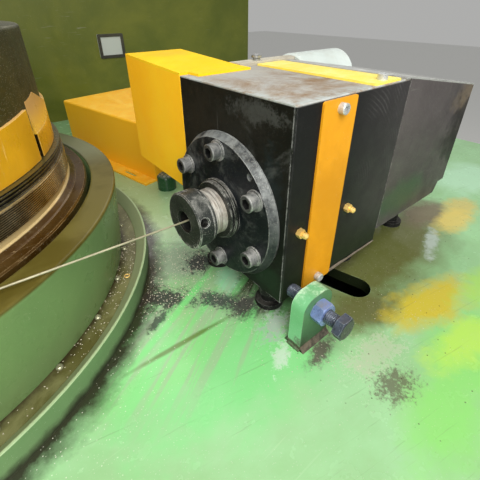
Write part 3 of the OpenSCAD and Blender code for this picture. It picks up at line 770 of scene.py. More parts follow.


# Its top colour is pale wear with a painted highlight, which lightens the bracket's top.
MINT = Finish("green_mint", (0.155, 0.44, 0.20), (0.22, 0.54, 0.28), Sheen.SATIN, grime_amount=0.22,
              top_dust_and_light=(0.88, 0.98, 0.80), top_dust_and_light_amount=1.0, edge=(0.55, 0.82, 0.55), edge_amount=0.9,
              edge_width=0.0016, grain=0.08)
BOSS = Finish("green_boss", (0.015, 0.062, 0.024), (0.022, 0.085, 0.034), Sheen.OILY, grime_amount=0.2,
              top_dust_and_light=(0.60, 0.55, 0.50), top_dust_and_light_amount=1.0)
GREEN = Finish("green_panel", (0.12, 0.26, 0.11), (0.15, 0.31, 0.14), Sheen.SATIN, grime_amount=0.18,
               top_dust_and_light_amount=0.2)
FRAME_GREEN = Finish("green_frame", (0.09, 0.19, 0.09), (0.11, 0.23, 0.11), Sheen.SATIN, grime_amount=0.35,
                     top_dust_and_light_amount=0.5)
DECK = Finish("green_deck", (0.26, 0.48, 0.22), (0.33, 0.60, 0.31), Sheen.OILY, patch=5.0,
              grime=(0.10, 0.10, 0.06), grime_amount=0.14, grime_scale=30.0, top_dust_and_light_amount=0.06, specks=0.14,
              speck_scale=700.0, scratch=0.3, edge=(0.42, 0.62, 0.36), edge_amount=0.5, grain=0.04, shine=0.5)
HOUSING = Finish("green_dark", (0.085, 0.105, 0.010), (0.145, 0.155, 0.017), Sheen.SATIN, patch=3.0,
                 grime_amount=0.12, top_dust_and_light_amount=0.2, specks=0.03)
OLIVE = Finish("green_olive", (0.142, 0.230, 0.086), (0.178, 0.270, 0.102), Sheen.GLOSS, patch=4.0,
               grime=(0.05, 0.055, 0.025), grime_amount=0.08, top_dust_and_light_amount=0.0, specks=0.03,
               edge=(0.30, 0.36, 0.20), grain=0.05, shine=0.15)
LIP = Finish("green_deck", (0.135, 0.235, 0.100), (0.175, 0.280, 0.125), Sheen.SATIN, grime_amount=0.12,
             top_dust_and_light_amount=0.10, specks=0.10, edge=(0.50, 0.60, 0.38), edge_amount=0.9, edge_width=0.0014,
             shine=0.3)
# Painted shade: the side strap's yellow is darker than the guard's to offset the key lamp on faces that look
# towards -Y.
SHADED_STRAP_YELLOW = Finish("yellow", (0.58, 0.245, 0.008), (0.74, 0.320, 0.011), Sheen.SATIN, patch=7.0,
                grime=(0.22, 0.10, 0.01), grime_amount=0.05, top_dust_and_light_amount=0.04, specks=0.02, scratch=0.2,
                edge=(0.70, 0.28, 0.02), edge_amount=0.7, grain=0.05, shine=0.2)
TOP_YELLOW = Finish("yellow", (0.88, 0.66, 0.07), (0.92, 0.76, 0.16), Sheen.SATIN, patch=9.0,
                    grime=(0.40, 0.36, 0.16), grime_amount=0.18, grime_scale=40.0, top_dust_and_light=(0.85, 0.84, 0.50),
                    top_dust_and_light_amount=0.5, specks=0.1, scratch=0.3, edge=(0.60, 0.40, 0.06), edge_amount=0.8,
                    grain=0.08, shine=0.2)
GUARD_YELLOW = Finish("yellow", (0.98, 0.50, 0.014), (0.99, 0.58, 0.020), Sheen.SATIN, patch=6.0,
                      grime=(0.30, 0.14, 0.015), grime_amount=0.06, top_dust_and_light_amount=0.0, specks=0.02,
                      scratch=0.25, edge=(0.95, 0.62, 0.05), edge_amount=0.8, edge_width=0.0012, grain=0.05,
                      shine=0.25)
LID_YELLOW = Finish("yellow", (0.88, 0.53, 0.012), (0.93, 0.62, 0.018), Sheen.MATT, patch=6.0,
                    grime=(0.35, 0.18, 0.02), grime_amount=0.06, top_dust_and_light_amount=0.0, specks=0.03, scratch=0.25,
                    edge=(0.70, 0.40, 0.03), edge_amount=0.6, grain=0.05, shine=0.08)
# Its top colour is a painted highlight, a brighter yellow on the duct's upward faces.
DUCT_YELLOW = Finish("yellow_duct", (0.98, 0.45, 0.013), (0.99, 0.51, 0.017), Sheen.SATIN, patch=3.5,
                     grime=(0.30, 0.14, 0.02), grime_amount=0.08, top_dust_and_light=(0.99, 0.66, 0.095), top_dust_and_light_amount=0.9,
                     specks=0.03, scratch=0.25, edge=(0.95, 0.60, 0.05), edge_amount=0.8, edge_width=0.002,
                     grain=0.05, shine=0.25)
# Its top colour is a painted highlight on the upward faces of the segments and their pockets.
SEGMENT_YELLOW = Finish("yellow", (0.60, 0.310, 0.012), (0.86, 0.45, 0.018), Sheen.GLOSS,
                        grime=(0.12, 0.07, 0.01), grime_amount=0.14, top_dust_and_light=(0.82, 0.47, 0.08), top_dust_and_light_amount=0.9,
                        specks=0.03, scratch=0.5, scratch_axis=2, edge=(0.90, 0.62, 0.22), edge_amount=0.9,
                        grain=0.06, shine=0.3)
BLACK = Finish("black_block", (0.0060, 0.0070, 0.0055), (0.0105, 0.0105, 0.0085), Sheen.SATIN, patch=8.0,
               grime=(0.030, 0.030, 0.024), grime_amount=0.20, grime_scale=26.0, top_dust_and_light=(0.10, 0.10, 0.09),
               top_dust_and_light_amount=0.25, specks=0.06, speck_scale=1300.0, scratch=0.18, scratch_axis=2,
               edge=(0.40, 0.41, 0.39), edge_amount=0.9, edge_width=0.0018, grain=0.10, shine=0.10)
BOX_BLACK = Finish("black_block", (0.058, 0.048, 0.050), (0.088, 0.076, 0.076), Sheen.SATIN, patch=5.0,
                   grime=(0.022, 0.020, 0.019), grime_amount=0.22, grime_scale=16.0, top_dust_and_light=(0.20, 0.19, 0.17),
                   top_dust_and_light_amount=0.3, specks=0.10, speck_scale=1000.0, scratch=0.25, scratch_axis=0,
                   edge=(0.34, 0.34, 0.32), edge_amount=0.8, grain=0.12, shine=0.2)
SLEEVE = Finish("steel_brown", (0.84, 0.81, 0.74), (0.54, 0.49, 0.42), Sheen.SATIN, metal=0.6, patch=60.0,
                grime=(0.24, 0.20, 0.15), grime_amount=0.22, grime_scale=140.0, top_dust_and_light_amount=0.1, specks=0.2,
                scratch=0.6, scratch_axis=1, edge=(0.9, 0.9, 0.86))
NUT = Finish("nut_dark", (0.018, 0.022, 0.020), (0.042, 0.046, 0.042), Sheen.SATIN, metal=0.25, patch=34.0,
             grime=(0.20, 0.20, 0.18), grime_amount=0.26, grime_scale=90.0, top_dust_and_light=(0.42, 0.42, 0.38),
             top_dust_and_light_amount=0.8, specks=0.35, scratch=0.5, scratch_axis=1, edge=(0.70, 0.70, 0.65),
             edge_amount=1.0, edge_width=0.0013, grain=0.14, shine=0.35)
COLLAR = Finish("steel_black", (0.007, 0.009, 0.0085), (0.015, 0.016, 0.015), Sheen.SATIN, metal=0.2,
                patch=26.0, grime=(0.09, 0.09, 0.08), grime_amount=0.25, grime_scale=70.0,
                top_dust_and_light=(0.30, 0.29, 0.26), top_dust_and_light_amount=0.8, specks=0.3, edge=(0.55, 0.55, 0.50),
                edge_amount=0.95, edge_width=0.0012, grain=0.12, shine=0.3)
PLATE = Finish("steel_brown", (0.0038, 0.0055, 0.0085), (0.0075, 0.0100, 0.0140), Sheen.SATIN, metal=0.15,
               patch=22.0, grime=(0.050, 0.054, 0.052), grime_amount=0.26, grime_scale=55.0,
               top_dust_and_light=(0.28, 0.28, 0.25), top_dust_and_light_amount=0.8, specks=0.3, scratch=0.35, edge=(0.50, 0.51, 0.48),
               edge_amount=0.9, edge_width=0.0014, grain=0.12, shine=0.3)
SCREW = Finish("screw_black", (0.10, 0.105, 0.105), (0.30, 0.30, 0.29), Sheen.SATIN, metal=0.4, patch=90.0,
               grime=(0.30, 0.30, 0.28), grime_amount=0.40, grime_scale=150.0, top_dust_and_light=(0.46, 0.46, 0.42),
               top_dust_and_light_amount=0.8, specks=0.2, edge=(0.68, 0.68, 0.64), edge_amount=0.95, edge_width=0.0009)
CHROME = Finish("screw_black", (0.62, 0.64, 0.64), (0.46, 0.47, 0.47), Sheen.GLOSS, metal=0.5, patch=60.0,
                grime_amount=0.12, grime_scale=90.0, specks=0.05, edge=(0.85, 0.85, 0.85), edge_width=0.0008)
BLUED = Finish("bolt_blue", (0.110, 0.135, 0.210), (0.055, 0.064, 0.090), Sheen.GLOSS, metal=0.4, patch=34.0,
               grime=(0.05, 0.045, 0.035), grime_amount=0.2, grime_scale=60.0, top_dust_and_light=(0.30, 0.30, 0.28),
               top_dust_and_light_amount=0.3, specks=0.1, scratch=0.35, edge=(0.42, 0.47, 0.54), edge_amount=0.85,
               edge_width=0.0010, grain=0.08)
NUT_BLUE = Finish("bolt_blue", (0.24, 0.33, 0.66), (0.13, 0.18, 0.36), Sheen.GLOSS, metal=0.35, patch=30.0,
                  grime=(0.05, 0.045, 0.035), grime_amount=0.2, grime_scale=60.0, top_dust_and_light=(0.30, 0.28, 0.24),
                  top_dust_and_light_amount=0.9, specks=0.1, scratch=0.3, edge=(0.52, 0.57, 0.70), edge_amount=0.85,
                  edge_width=0.0010, grain=0.08)
BRASS = Finish("brass", (0.92, 0.62, 0.20), (0.72, 0.44, 0.11), Sheen.SATIN, metal=0.5, patch=80.0,
               grime_amount=0.12, grime_scale=120.0, specks=0.1, edge=(0.98, 0.88, 0.58), edge_width=0.0005)
SEAL = Finish("seal_brown", (0.12, 0.095, 0.070), (0.20, 0.16, 0.125), Sheen.MATT, patch=50.0,
              grime=(0.03, 0.022, 0.015), grime_amount=0.3, grime_scale=70.0, specks=0.15,
              edge=(0.34, 0.28, 0.21), grain=0.3)
SPINDLE = Finish("steel_bright", (0.55, 0.55, 0.54), (0.42, 0.42, 0.40), Sheen.GLOSS, metal=1.0,
                 grime_amount=0.2)
SHELL = Finish("steel_worn", (0.050, 0.022, 0.003), (0.085, 0.050, 0.014), Sheen.OILY, metal=0.25, patch=9.0,
               grime=(0.025, 0.014, 0.004), grime_amount=0.22, grime_scale=18.0, top_dust_and_light_amount=0.0, specks=0.05,
               scratch=0.45, edge=(0.60, 0.45, 0.22), edge_amount=0.6, edge_width=0.0012, grain=0.04,
               shine=0.2)
WIRE = Finish("wire_steel", (0.46, 0.38, 0.22), (0.17, 0.115, 0.045), Sheen.OILY, metal=0.9, patch=20.0,
              grime=(0.07, 0.05, 0.025), grime_amount=0.22, grime_scale=40.0, top_dust_and_light_amount=0.0, specks=0.0,
              scratch=0.2, edge_amount=0.0)
DRAWN = Finish("wire_steel", (0.44, 0.41, 0.28), (0.28, 0.26, 0.17), Sheen.SATIN, metal=0.4, patch=30.0,
               grime=(0.12, 0.09, 0.05), grime_amount=0.25, grime_scale=60.0, top_dust_and_light_amount=0.0, specks=0.0,
               scratch=0.2, edge_amount=0.0)
CAST_BLACK = Finish("steel_black", (0.036, 0.036, 0.010), (0.064, 0.062, 0.020), Sheen.WORN, metal=0.2,
                    patch=12.0, grime_amount=0.3, grime_scale=60.0, top_dust_and_light_amount=0.15, specks=0.4, scratch=0.3,
                    edge=(0.30, 0.28, 0.2), grain=0.35, grain_scale=420.0, shine=0.25)
BAND = Finish("steel_black", (0.022, 0.019, 0.013), (0.05, 0.044, 0.032), Sheen.GLOSS, metal=0.5, patch=12.0,
              grime_amount=0.2, specks=0.1, scratch=0.3, edge=(0.42, 0.38, 0.30), edge_amount=0.9)
FEET = Finish("steel_black", (0.008, 0.008, 0.008), (0.016, 0.016, 0.015), Sheen.WORN, metal=0.2, patch=30.0,
              grime_amount=0.25, specks=0.1, edge_amount=0.3, shine=0.2)
SOAPY_STEEL = Finish("steel_lid", (0.42, 0.43, 0.42), (0.30, 0.30, 0.29), Sheen.WORN, metal=0.35, patch=9.0,
                     grime=(0.16, 0.15, 0.13), grime_amount=0.25, top_dust_and_light=(0.68, 0.70, 0.66), top_dust_and_light_amount=0.6,
                     specks=0.2, scratch=0.5, edge=(0.60, 0.60, 0.58), edge_amount=0.9)
RAIL = Finish("rail_soapy", (0.40, 0.36, 0.28), (0.52, 0.49, 0.40), Sheen.MATT, metal=0.1, patch=24.0,
              grime=(0.20, 0.16, 0.12), grime_amount=0.3, grime_scale=40.0, top_dust_and_light=(0.64, 0.62, 0.50),
              top_dust_and_light_amount=0.8, specks=0.3, edge=(0.7, 0.7, 0.66), grain=0.5, grain_scale=260.0)
KNOB = Finish("knob_steel", (0.45, 0.46, 0.46), (0.33, 0.34, 0.34), Sheen.GLOSS, metal=0.8, patch=60.0,
              grime_amount=0.25)
MOTOR = Finish("motor_pale", (0.55, 0.62, 0.59), (0.66, 0.73, 0.70), Sheen.SATIN, grime_amount=0.15,
               top_dust_and_light_amount=0.3, edge=(0.75, 0.78, 0.76), grain=0.1)
GLASS = Finish("glass_dark", (0.030, 0.028, 0.020), (0.05, 0.045, 0.03), Sheen.GLOSS, grime_amount=0.15,
               edge=(0.12, 0.10, 0.07))
CRUMBS = Finish("green_deck", (0.66, 0.62, 0.48), (0.34, 0.30, 0.22), Sheen.WORN, metal=0.2, patch=160.0,
                specks=0.0, grime_amount=0.25, grime_scale=260.0, edge_amount=0.0, scratch=0.0)
WELD = Finish("green_mint", (0.075, 0.15, 0.07), (0.10, 0.075, 0.05), Sheen.SATIN, patch=60.0,
              grime=(0.05, 0.035, 0.022), grime_amount=0.6, grime_scale=90.0, top_dust_and_light_amount=0.0, specks=0.1,
              grain=0.3, edge_amount=0.0)
ZINC = Finish("steel_bright", (0.42, 0.42, 0.28), (0.26, 0.26, 0.17), Sheen.GLOSS, metal=0.6, patch=90.0,
              grime_amount=0.3, grime_scale=120.0, edge=(0.70, 0.66, 0.46), edge_width=0.0006)


@dataclass
class Cabinet:
    """Plinth, panels, deck and the housing behind the deck.

    Args:
        painter: Lays on the materials.
        lit_pool: Colour of the painted highlight, a pool of light on the deck by the bracket.
        marks: Paint, oil and soap on the deck, with painted highlights, reflections, shadow and shade, the
            lowest first.
        powder: Drawing powder on the deck by the trough.
        swept: Stroke that a cloth left beside the trough.
        rubbed: Thin stroke beside it.
        dark_band_r: Radius up to which the black band along the trough is full.
        dark_band_end_r: Radius at which that band ends.
        pane_lead: How far in front of the window's middle its pane starts.
    """

    painter: Painter
    lit_pool: Colour = (0.21, 0.62, 0.22)
    marks: tuple[Stain, ...] = (
        # Painted highlight: a pool of light on the deck by the bracket, in two patches.
        deck_mark(0.360, -0.445, 0.17, 0.080, lit_pool, 0.92, -8, 0.55),
        deck_mark(0.300, -0.390, 0.11, 0.040, (0.22, 0.62, 0.20), 0.8, 0, 0.5),
        # Painted highlight: bright green on the deck to the right of the bracket.
        deck_mark(0.560, -0.610, 0.17, 0.052, (0.24, 0.62, 0.15), 0.92, 8, 0.5),
        # Pale patch on the deck near the duct.
        deck_mark(0.450, 0.020, 0.10, 0.22, (0.38, 0.50, 0.26), 0.75, 0, 0.5),
        # Painted reflection of the dark block and soap box in the glossy deck.
        deck_mark(0.690, -0.430, 0.25, 0.098, (0.115, 0.118, 0.030), 0.96, 4, 0.35, 0.0, 0.15),
        deck_mark(0.560, -0.488, 0.075, 0.040, (0.110, 0.112, 0.032), 0.9, -16, 0.5, 0.0, 0.17),
        # Painted shadow of the block, and painted shade under the block and soap box.
        deck_mark(0.500, -0.360, 0.095, 0.085, (0.020, 0.020, 0.009), 0.96, 0, 0.35, 0.0, 0.2),
        deck_mark(0.600, -0.380, 0.14, 0.035, (0.050, 0.040, 0.022), 0.85, 0, 0.4, 0.0, 0.25),
        # Painted reflections of yellow in the glossy deck, to the right of the block.
        deck_mark(0.640, -0.540, 0.100, 0.040, (0.56, 0.45, 0.020), 0.95, -10, 0.5),
        deck_mark(0.610, -0.600, 0.090, 0.030, (0.48, 0.72, 0.080), 0.7, -10, 0.6),
        deck_mark(0.750, -0.590, 0.10, 0.045, (0.36, 0.64, 0.10), 0.8, -10, 0.6),
        # Brown patch on the far deck.
        deck_mark(0.875, -0.415, 0.085, 0.050, (0.16, 0.125, 0.075), 0.9, 0, 0.4, 0.0, 0.3),
        # Painted reflections of yellow in the glossy deck, further right.
        deck_mark(0.960, -0.450, 0.060, 0.035, (0.60, 0.48, 0.13), 0.8, 0, 0.5),
        deck_mark(0.900, -0.464, 0.080, 0.032, (0.66, 0.53, 0.130), 0.9, 0, 0.5),
        # Painted highlights: a pale mint patch on the far deck and a bright streak.
        deck_mark(1.120, -0.400, 0.13, 0.09, (0.45, 0.74, 0.50), 0.85, 0, 0.4),
        deck_mark(0.785, -0.470, 0.055, 0.012, (0.50, 0.58, 0.54), 0.7, 22, 1.0),
        # Small marks on the deck by the block and the bracket.
        deck_mark(0.444, -0.311, 0.045, 0.022, (0.30, 0.62, 0.38), 0.85, 50, 0.5, 0.1, 0.4),
        deck_mark(0.440, -0.382, 0.040, 0.022, (0.024, 0.022, 0.015), 0.9, 0, 0.7, 0.4, 0.5),
        deck_mark(0.410, -0.463, 0.026, 0.011, (0.55, 0.66, 0.55), 0.8, 30, 1.0, 0.8, 0.5),
        deck_mark(0.450, -0.490, 0.032, 0.013, (0.080, 0.060, 0.048), 0.92, 12, 0.9, 0.6, 0.7),
    )
    powder: tuple[Stain, ...] = (
        deck_mark(0.405, -0.225, 0.060, 0.060, (0.27, 0.33, 0.25), 0.75, 0, 0.8, 0.5, 0.6),
        deck_mark(0.433, -0.250, 0.034, 0.030, (0.030, 0.030, 0.032), 0.95, 35, 1.0, 0.9, 0.8),
        deck_mark(0.343, -0.284, 0.050, 0.026, (0.030, 0.030, 0.028), 0.95, -42, 0.9, 0.9, 0.8),
        deck_mark(0.406, -0.341, 0.048, 0.017, (0.035, 0.040, 0.040), 0.9, -55, 1.0, 1.1, 0.8),
        deck_mark(0.428, -0.372, 0.030, 0.022, (0.040, 0.038, 0.034), 0.9, 0, 1.0, 1.1, 0.8),
        deck_mark(0.436, -0.425, 0.030, 0.020, (0.36, 0.42, 0.38), 0.8, 30, 1.0, 1.3, 0.8),
        deck_mark(0.318, -0.318, 0.026, 0.008, (0.040, 0.050, 0.045), 0.85, 26, 1.0, 0.8, 0.8),
        deck_mark(0.498, -0.536, 0.045, 0.022, (0.42, 0.50, 0.34), 0.75, -8, 0.9, 1.4, 0.6),
        deck_mark(0.480, -0.572, 0.030, 0.020, (0.10, 0.085, 0.055), 0.8, -8, 1.0, 1.4, 0.6),
    )
    swept: Stain = deck_mark(0.345, -0.322, 0.135, 0.0075, (0.19, 0.66, 0.20), 0.9, 26, 0.35, 0.15)
    rubbed: Stain = deck_mark(0.325, -0.370, 0.085, 0.0045, (0.115, 0.20, 0.045), 0.9, -3, 0.25)
    dark_band_r: float = 0.3995
    dark_band_end_r: float = 0.4265
    pane_lead: float = 0.0015

    def deck_dirt_and_light(self, coat: Coat) -> None:
        """Adds streaks in the painted pool of light, drawing powder, glitter, the black band by the trough
        and painted shade on the deck's walls.

        Args:
            coat: Layers laid so far.
        """
        sh = coat.sh
        # Mask of the painted pool of light; the bright strokes break the highlight up and the grey strokes
        # lie over it.
        near = sh.mark(deck_mark(0.34, -0.37, 0.17, 0.11, self.lit_pool, 1.0, 0, 0.2))
        pool_streaks = sh.spread(sh.strokes(46.0, 26.0, 16.0), 0.46, 0.60)
        coat.tint(sh.times(pool_streaks, near), (0.20, 0.62, 0.20), 0.85)
        faded = sh.spread(sh.strokes(70.0, 31.0, 22.0), 0.53, 0.62)
        coat.tint(sh.times(faded, near), (0.33, 0.42, 0.27), 0.6)
        fine = sh.spread(sh.strokes(260.0, -12.0, 30.0), 0.62, 0.68)
        coat.tint(fine, (0.10, 0.13, 0.05), 0.22)
        for mark in (*self.powder, self.swept, self.rubbed):
            coat.stain(mark)
        # A black band on the deck along the trough's outer edge.
        loose = sh.times(sh.noise(26.0, 6.0, 0.7), 0.045)
        reach = sh.calc("SUBTRACT", sh.radius(), loose)
        edge = sh.spread(reach, self.dark_band_end_r, self.dark_band_r)
        coat.tint(edge, (0.020, 0.014, 0.008), 0.96)
        beside = sh.spread(sh.radius(), 0.60, 0.44)
        gap, pick = sh.cells(420.0)
        glint = sh.times(sh.spread(gap, 0.30, 0.14), sh.spread(pick, 0.86, 0.88))
        coat.tint(sh.times(glint, beside), (0.78, 0.76, 0.64), 0.8)
        pit, which = sh.cells(150.0)
        fleck = sh.times(sh.spread(pit, 0.16, 0.09), sh.spread(which, 0.84, 0.86))
        away = sh.spread(sh.axis(0), 0.38, 0.46)
        coat.tint(sh.times(fleck, away), (0.05, 0.035, 0.012), 0.85)
        # Painted shade on the deck plate's walls below its top.
        wall = sh.spread(sh.axis(2), DECK_TOP - 0.0006, DECK_TOP - 0.0012)
        coat.tint(wall, (0.007, 0.011, 0.005), 0.97)
        waves = sh.noise(9.0, 2.0, 0.5)
        coat.lift(waves, 1.5)

    def pane(self, coat: Coat) -> None:
        """Makes the window's pane pale inside its dark frame.

        Args:
            coat: Layers laid so far.
        """
        sh = coat.sh
        low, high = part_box("housing_window")
        middle = (low[1] + high[1]) / 2
        glass = sh.spread(sh.axis(1), middle - self.pane_lead, middle - self.pane_lead / 3)
        coat.tint(glass, (0.50, 0.54, 0.50), 0.9)
        coat.polish(glass, 0.12)

    def build(self) -> None:
        """Paints the cabinet's solids."""
        self.painter.dress("deck", DECK, "plate", self.marks, self.deck_dirt_and_light)
        self.painter.dress("deck_boss", BOSS)
        self.painter.dress("plinth", FRAME_GREEN)
        for name in ("front_panel", "rear_panel", "left_panel", "right_panel"):
            self.painter.dress(name, GREEN)
        self.painter.dress("rear_housing", HOUSING)
        self.painter.dress("housing_window", GLASS, "pane", (), self.pane)


@dataclass
class Capstan:
    """Capstan with its turns of wire, the fixed ring round it and the trough.

    Args:
        painter: Lays on the materials.
        pitch: Rise of the wire in a turn.
        steps: Points on a turn of wire.
        segment_count: Number of yellow segments.
        segment_t: Thickness of a segment.
        first_slit: Angle of the first slit in degrees.
        slit: Width of a slit in degrees.
        pocket: Length of a pocket in degrees.
        pocket_foot: Height of a pocket's foot above the segment's foot.
        plain_h: Height of a segment halfway to the next slit.
        rise: How much higher it is at the next slit.
        peak: Angle past the slit at which a pocket is highest, in degrees.
        shelf_h: Height of a pocket's edge at the slit.
        peak_h: Height of its edge at its peak.
        drum_gap: How far the drum stands behind the segments' face.
        drum_t: Thickness of the drum's wall.
        drum_edge: Radius of the drum's upper edge.
        drum_foot: Height of the drum's step above its foot.
        crown_r: Inner radius of the drum's top plate.
        crown_t: Thickness of that plate.
        taper: How much narrower the skirt is at its foot.
        skirt_edge: Radius of the skirt's upper edge.
        mouth_gap: Gap between the capstan's flange and the fixed ring.
        screws: Number of screws along the skirt's foot.
        first_screw: Angle of the first of them in degrees.
        seat_r: Radius on which they sit.
        screw_r: Radius of their heads.
        screw_h: Height of their heads.
        trough_floor: Height of the trough's floor above the trough's foot.
        ring_x: Place of the loose ring along X.
        ring_y: Its place along Y.
        ring_r: Radius of its middle line.
        ring_wire: Radius of its section.
    """

    painter: Painter
    pitch: float = 0.0025
    steps: int = 120
    segment_count: int = 6
    segment_t: float = 0.028
    first_slit: float = -31.0
    slit: float = 2.0
    pocket: float = 18.0
    pocket_foot: float = 0.0300
    plain_h: float = 0.0510
    rise: float = 0.0130
    peak: float = 6.5
    shelf_h: float = 0.0690
    peak_h: float = 0.0740
    drum_gap: float = 0.0040
    drum_t: float = 0.016
    drum_edge: float = 0.004
    drum_foot: float = 0.034
    crown_r: float = 0.140
    crown_t: float = 0.012
    taper: float = 0.012
    skirt_edge: float = 0.0022
    mouth_gap: float = 0.006
    screws: int = 32
    first_screw: float = -47.8
    seat_r: float = 0.3785
    screw_r: float = 0.0042
    screw_h: float = 0.0028
    trough_floor: float = 0.0200
    ring_x: float = 0.3170
    ring_y: float = -0.2290
    ring_r: float = 0.0036
    ring_wire: float = 0.0008

    def coil(self) -> None:
        """Winds one length of wire round the capstan, a turn beside the last."""
        low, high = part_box("wire_coils")
        run_low, run_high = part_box("drawn_wire")
        radius = (run_high[1] - run_low[1]) / 2
        coil_r = high[0] - radius
        first = low[2] + radius
        total = round((high[2] - radius - first) / self.pitch * self.steps)
        path = []
        for i in range(total + 1):
            angle = math.radians(-90) - 2 * math.pi * i / self.steps
            path.append(Vector((coil_r * math.cos(angle), coil_r * math.sin(angle),
                                first + self.pitch * i / self.steps)))
        form = Mesher.tube(path, radius, 10)
        Mesher.piece("coiled_wire", form, Body.CAPSTAN, "wire_steel",
                     self.painter.material(WIRE, "coil", (), self.turn_shading), ("wire_coils",))

    def turn_shading(self, coat: Coat) -> None:
        """Paints shade on every turn's lower side so that the turns read one by one.

        Args:
            coat: Layers laid so far.
        """
        sh = coat.sh
        # Painted shade on the faces that look down.
        under = sh.facing(2, 0.30, -0.25)
        coat.tint(under, (0.012, 0.007, 0.003), 0.96)

    def flange_rub_and_reflection(self, coat: Coat) -> None:
        """Adds turning marks round the axis, scuffs and a painted reflection of yellow on the ridge at the
        winding face's foot.

        Args:
            coat: Layers laid so far.
        """
        sh = coat.sh
        r = sh.radius()
        level = sh.axis(2)
        # Painted reflection of yellow in the polished ridge.
        on_flare = sh.spread(level, 0.9945, 0.9965)
        ridge = sh.times(on_flare, sh.spread(r, 0.3209, 0.3198))
        coat.tint(ridge, (0.80, 0.62, 0.30), 0.75)
        scuff = sh.times(sh.spread(sh.noise(60.0, 8.0, 0.8, warp=0.4), 0.56, 0.66),
                         sh.spread(sh.noise(7.0, 3.0), 0.48, 0.62))
        coat.tint(scuff, (0.34, 0.27, 0.16), 0.3)
        rings = sh.calc("SINE", sh.times(r, 9000.0))
        coat.lift(rings, 0.05)

    def ring_gloss(self, coat: Coat) -> None:
        """Makes the ring's top an olive slick with oil over the skirt's even green, pale towards the far side
        as a painted reflection.

        Args:
            coat: Layers laid so far.
        """
        sh = coat.sh
        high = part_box("capstan_base")[1]
        top = sh.spread(sh.axis(2), high[2] - 0.0060, high[2] - 0.0015)
        oil_and_reflection = sh.blend(sh.spread(sh.noise(9.0, 5.0, 0.6, warp=0.8), 0.40, 0.62), (0.080, 0.058, 0.008),
                        (0.125, 0.100, 0.022))
        # Painted reflection: the ring's top turns pale khaki towards the far side.
        pale = sh.blend(sh.spread(sh.noise(6.0, 3.0, 0.5), 0.40, 0.60), (0.125, 0.135, 0.070),
                        (0.200, 0.205, 0.120))
        oil_and_reflection = sh.blend(sh.spread(sh.axis(1), -0.10, 0.02), oil_and_reflection, pale)
        coat.tint(top, oil_and_reflection, 0.95)
        coat.polish(sh.times(top, 0.9), 0.17)
        low_part = sh.times(sh.spread(sh.axis(2), 0.892, 0.868),
                            sh.spread(sh.noise(30.0, 6.0, 0.7), 0.42, 0.62))
        coat.tint(low_part, (0.060, 0.065, 0.025), 0.45)

    def trough_dirt_and_shade(self, coat: Coat) -> None:
        """Makes the trough's floor dirty and slick with oil, with painted shade in its corner at the skirt,
        its inner slope pale and its foot black.

        Args:
            coat: Layers laid so far.
        """
        sh = coat.sh
        low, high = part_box("trough_lip")
        floor_z = low[2] + self.trough_floor
        r = sh.radius()
        z = sh.axis(2)
        inside = sh.spread(r, high[0] - 0.0006, high[0] - 0.0016)
        slope = sh.times(inside, sh.spread(z, floor_z + 0.0002, floor_z + 0.0015))
        coat.tint(slope, (0.27, 0.31, 0.17), 0.9)
        rim = sh.times(sh.spread(z, high[2] - 0.0012, high[2] - 0.0004),
                       sh.spread(r, high[0] - 0.0034, high[0] - 0.0020))
        coat.tint(rim, (0.36, 0.48, 0.26), 0.85)
        floor = sh.times(inside, sh.spread(z, floor_z + 0.0010, floor_z + 0.0003))
        oil = sh.blend(sh.spread(sh.noise(14.0, 6.0, 0.7, warp=0.6), 0.38, 0.64), (0.080, 0.070, 0.018),
                       (0.165, 0.160, 0.065))
        coat.tint(floor, oil, 0.96)
        loose = sh.times(sh.noise(40.0, 6.0, 0.7), 0.020)
        # Painted shade in the corner where the skirt meets the floor.
        corner = sh.times(floor, sh.spread(sh.calc("SUBTRACT", r, loose), 0.3760, 0.3640))
        coat.tint(corner, (0.022, 0.015, 0.007), 0.9)
        wall = sh.calc("SUBTRACT", 1.0, inside)
        foot = sh.times(wall, sh.spread(sh.calc("SUBTRACT", z, loose), low[2] + 0.004, low[2] - 0.008))
        coat.tint(foot, (0.020, 0.016, 0.010), 0.9)
        coat.polish(sh.times(floor, 0.6), 0.22)

    def outline(self, turn: float) -> tuple[float, float, float]:
        """Gives a segment's outline at an angle past its slit.

        Args:
            turn: Degrees past the slit, up to the next one.

        Returns:
            Heights of the pocket's foot and of the upper edge, and the share of the full depth.
        """
        spacing = 360.0 / self.segment_count
        half = spacing / 2
        plain = self.plain_h + self.rise * max(0.0, (turn - half) / (spacing - half)) ** 1.5
        if turn >= self.pocket:
            return plain, plain, 0.0
        share = turn / self.pocket
        foot = self.pocket_foot + (plain - self.pocket_foot) * (1 - math.sqrt(max(0.0, 1 - share ** 2.6)))
        if turn < self.peak:
            upper = self.shelf_h + (self.peak_h - self.shelf_h) * (turn / self.peak) ** 2
        else:
            fall = ((turn - self.peak) / (self.pocket - self.peak)) ** 0.9
            upper = self.peak_h - (self.peak_h - plain) * fall
        return foot, max(upper, foot), math.sqrt(max(0.0, 1 - share ** 2))

    def hollows(self, coat: Coat) -> None:
        """Gives the segments' pockets a paler face as painted shading, with painted shade in the slits and
        the pockets' foot and a painted highlight on their rim.

        Args:
            coat: Layers laid so far.
        """
        sh = coat.sh
        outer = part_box("capstan_segments")[1][0]
        sunk = sh.spread(sh.radius(), outer - 0.0003, outer - 0.0012)
        above = sh.spread(sh.axis(2), 1.0795, 1.0812)
        # Painted shade in the slits and along the pockets' foot.
        coat.tint(sh.times(sunk, sh.calc("SUBTRACT", 1.0, above)), (0.020, 0.012, 0.003))
        sunk = sh.times(sunk, above)
        # Painted shading of the pockets: lighter low down, darker and pinker towards the top.
        high = sh.spread(sh.axis(2), 1.0850, 1.1150)
        ground = sh.blend(high, (0.88, 0.52, 0.060), (0.60, 0.36, 0.140))
        coat.tint(sunk, ground, 0.92)
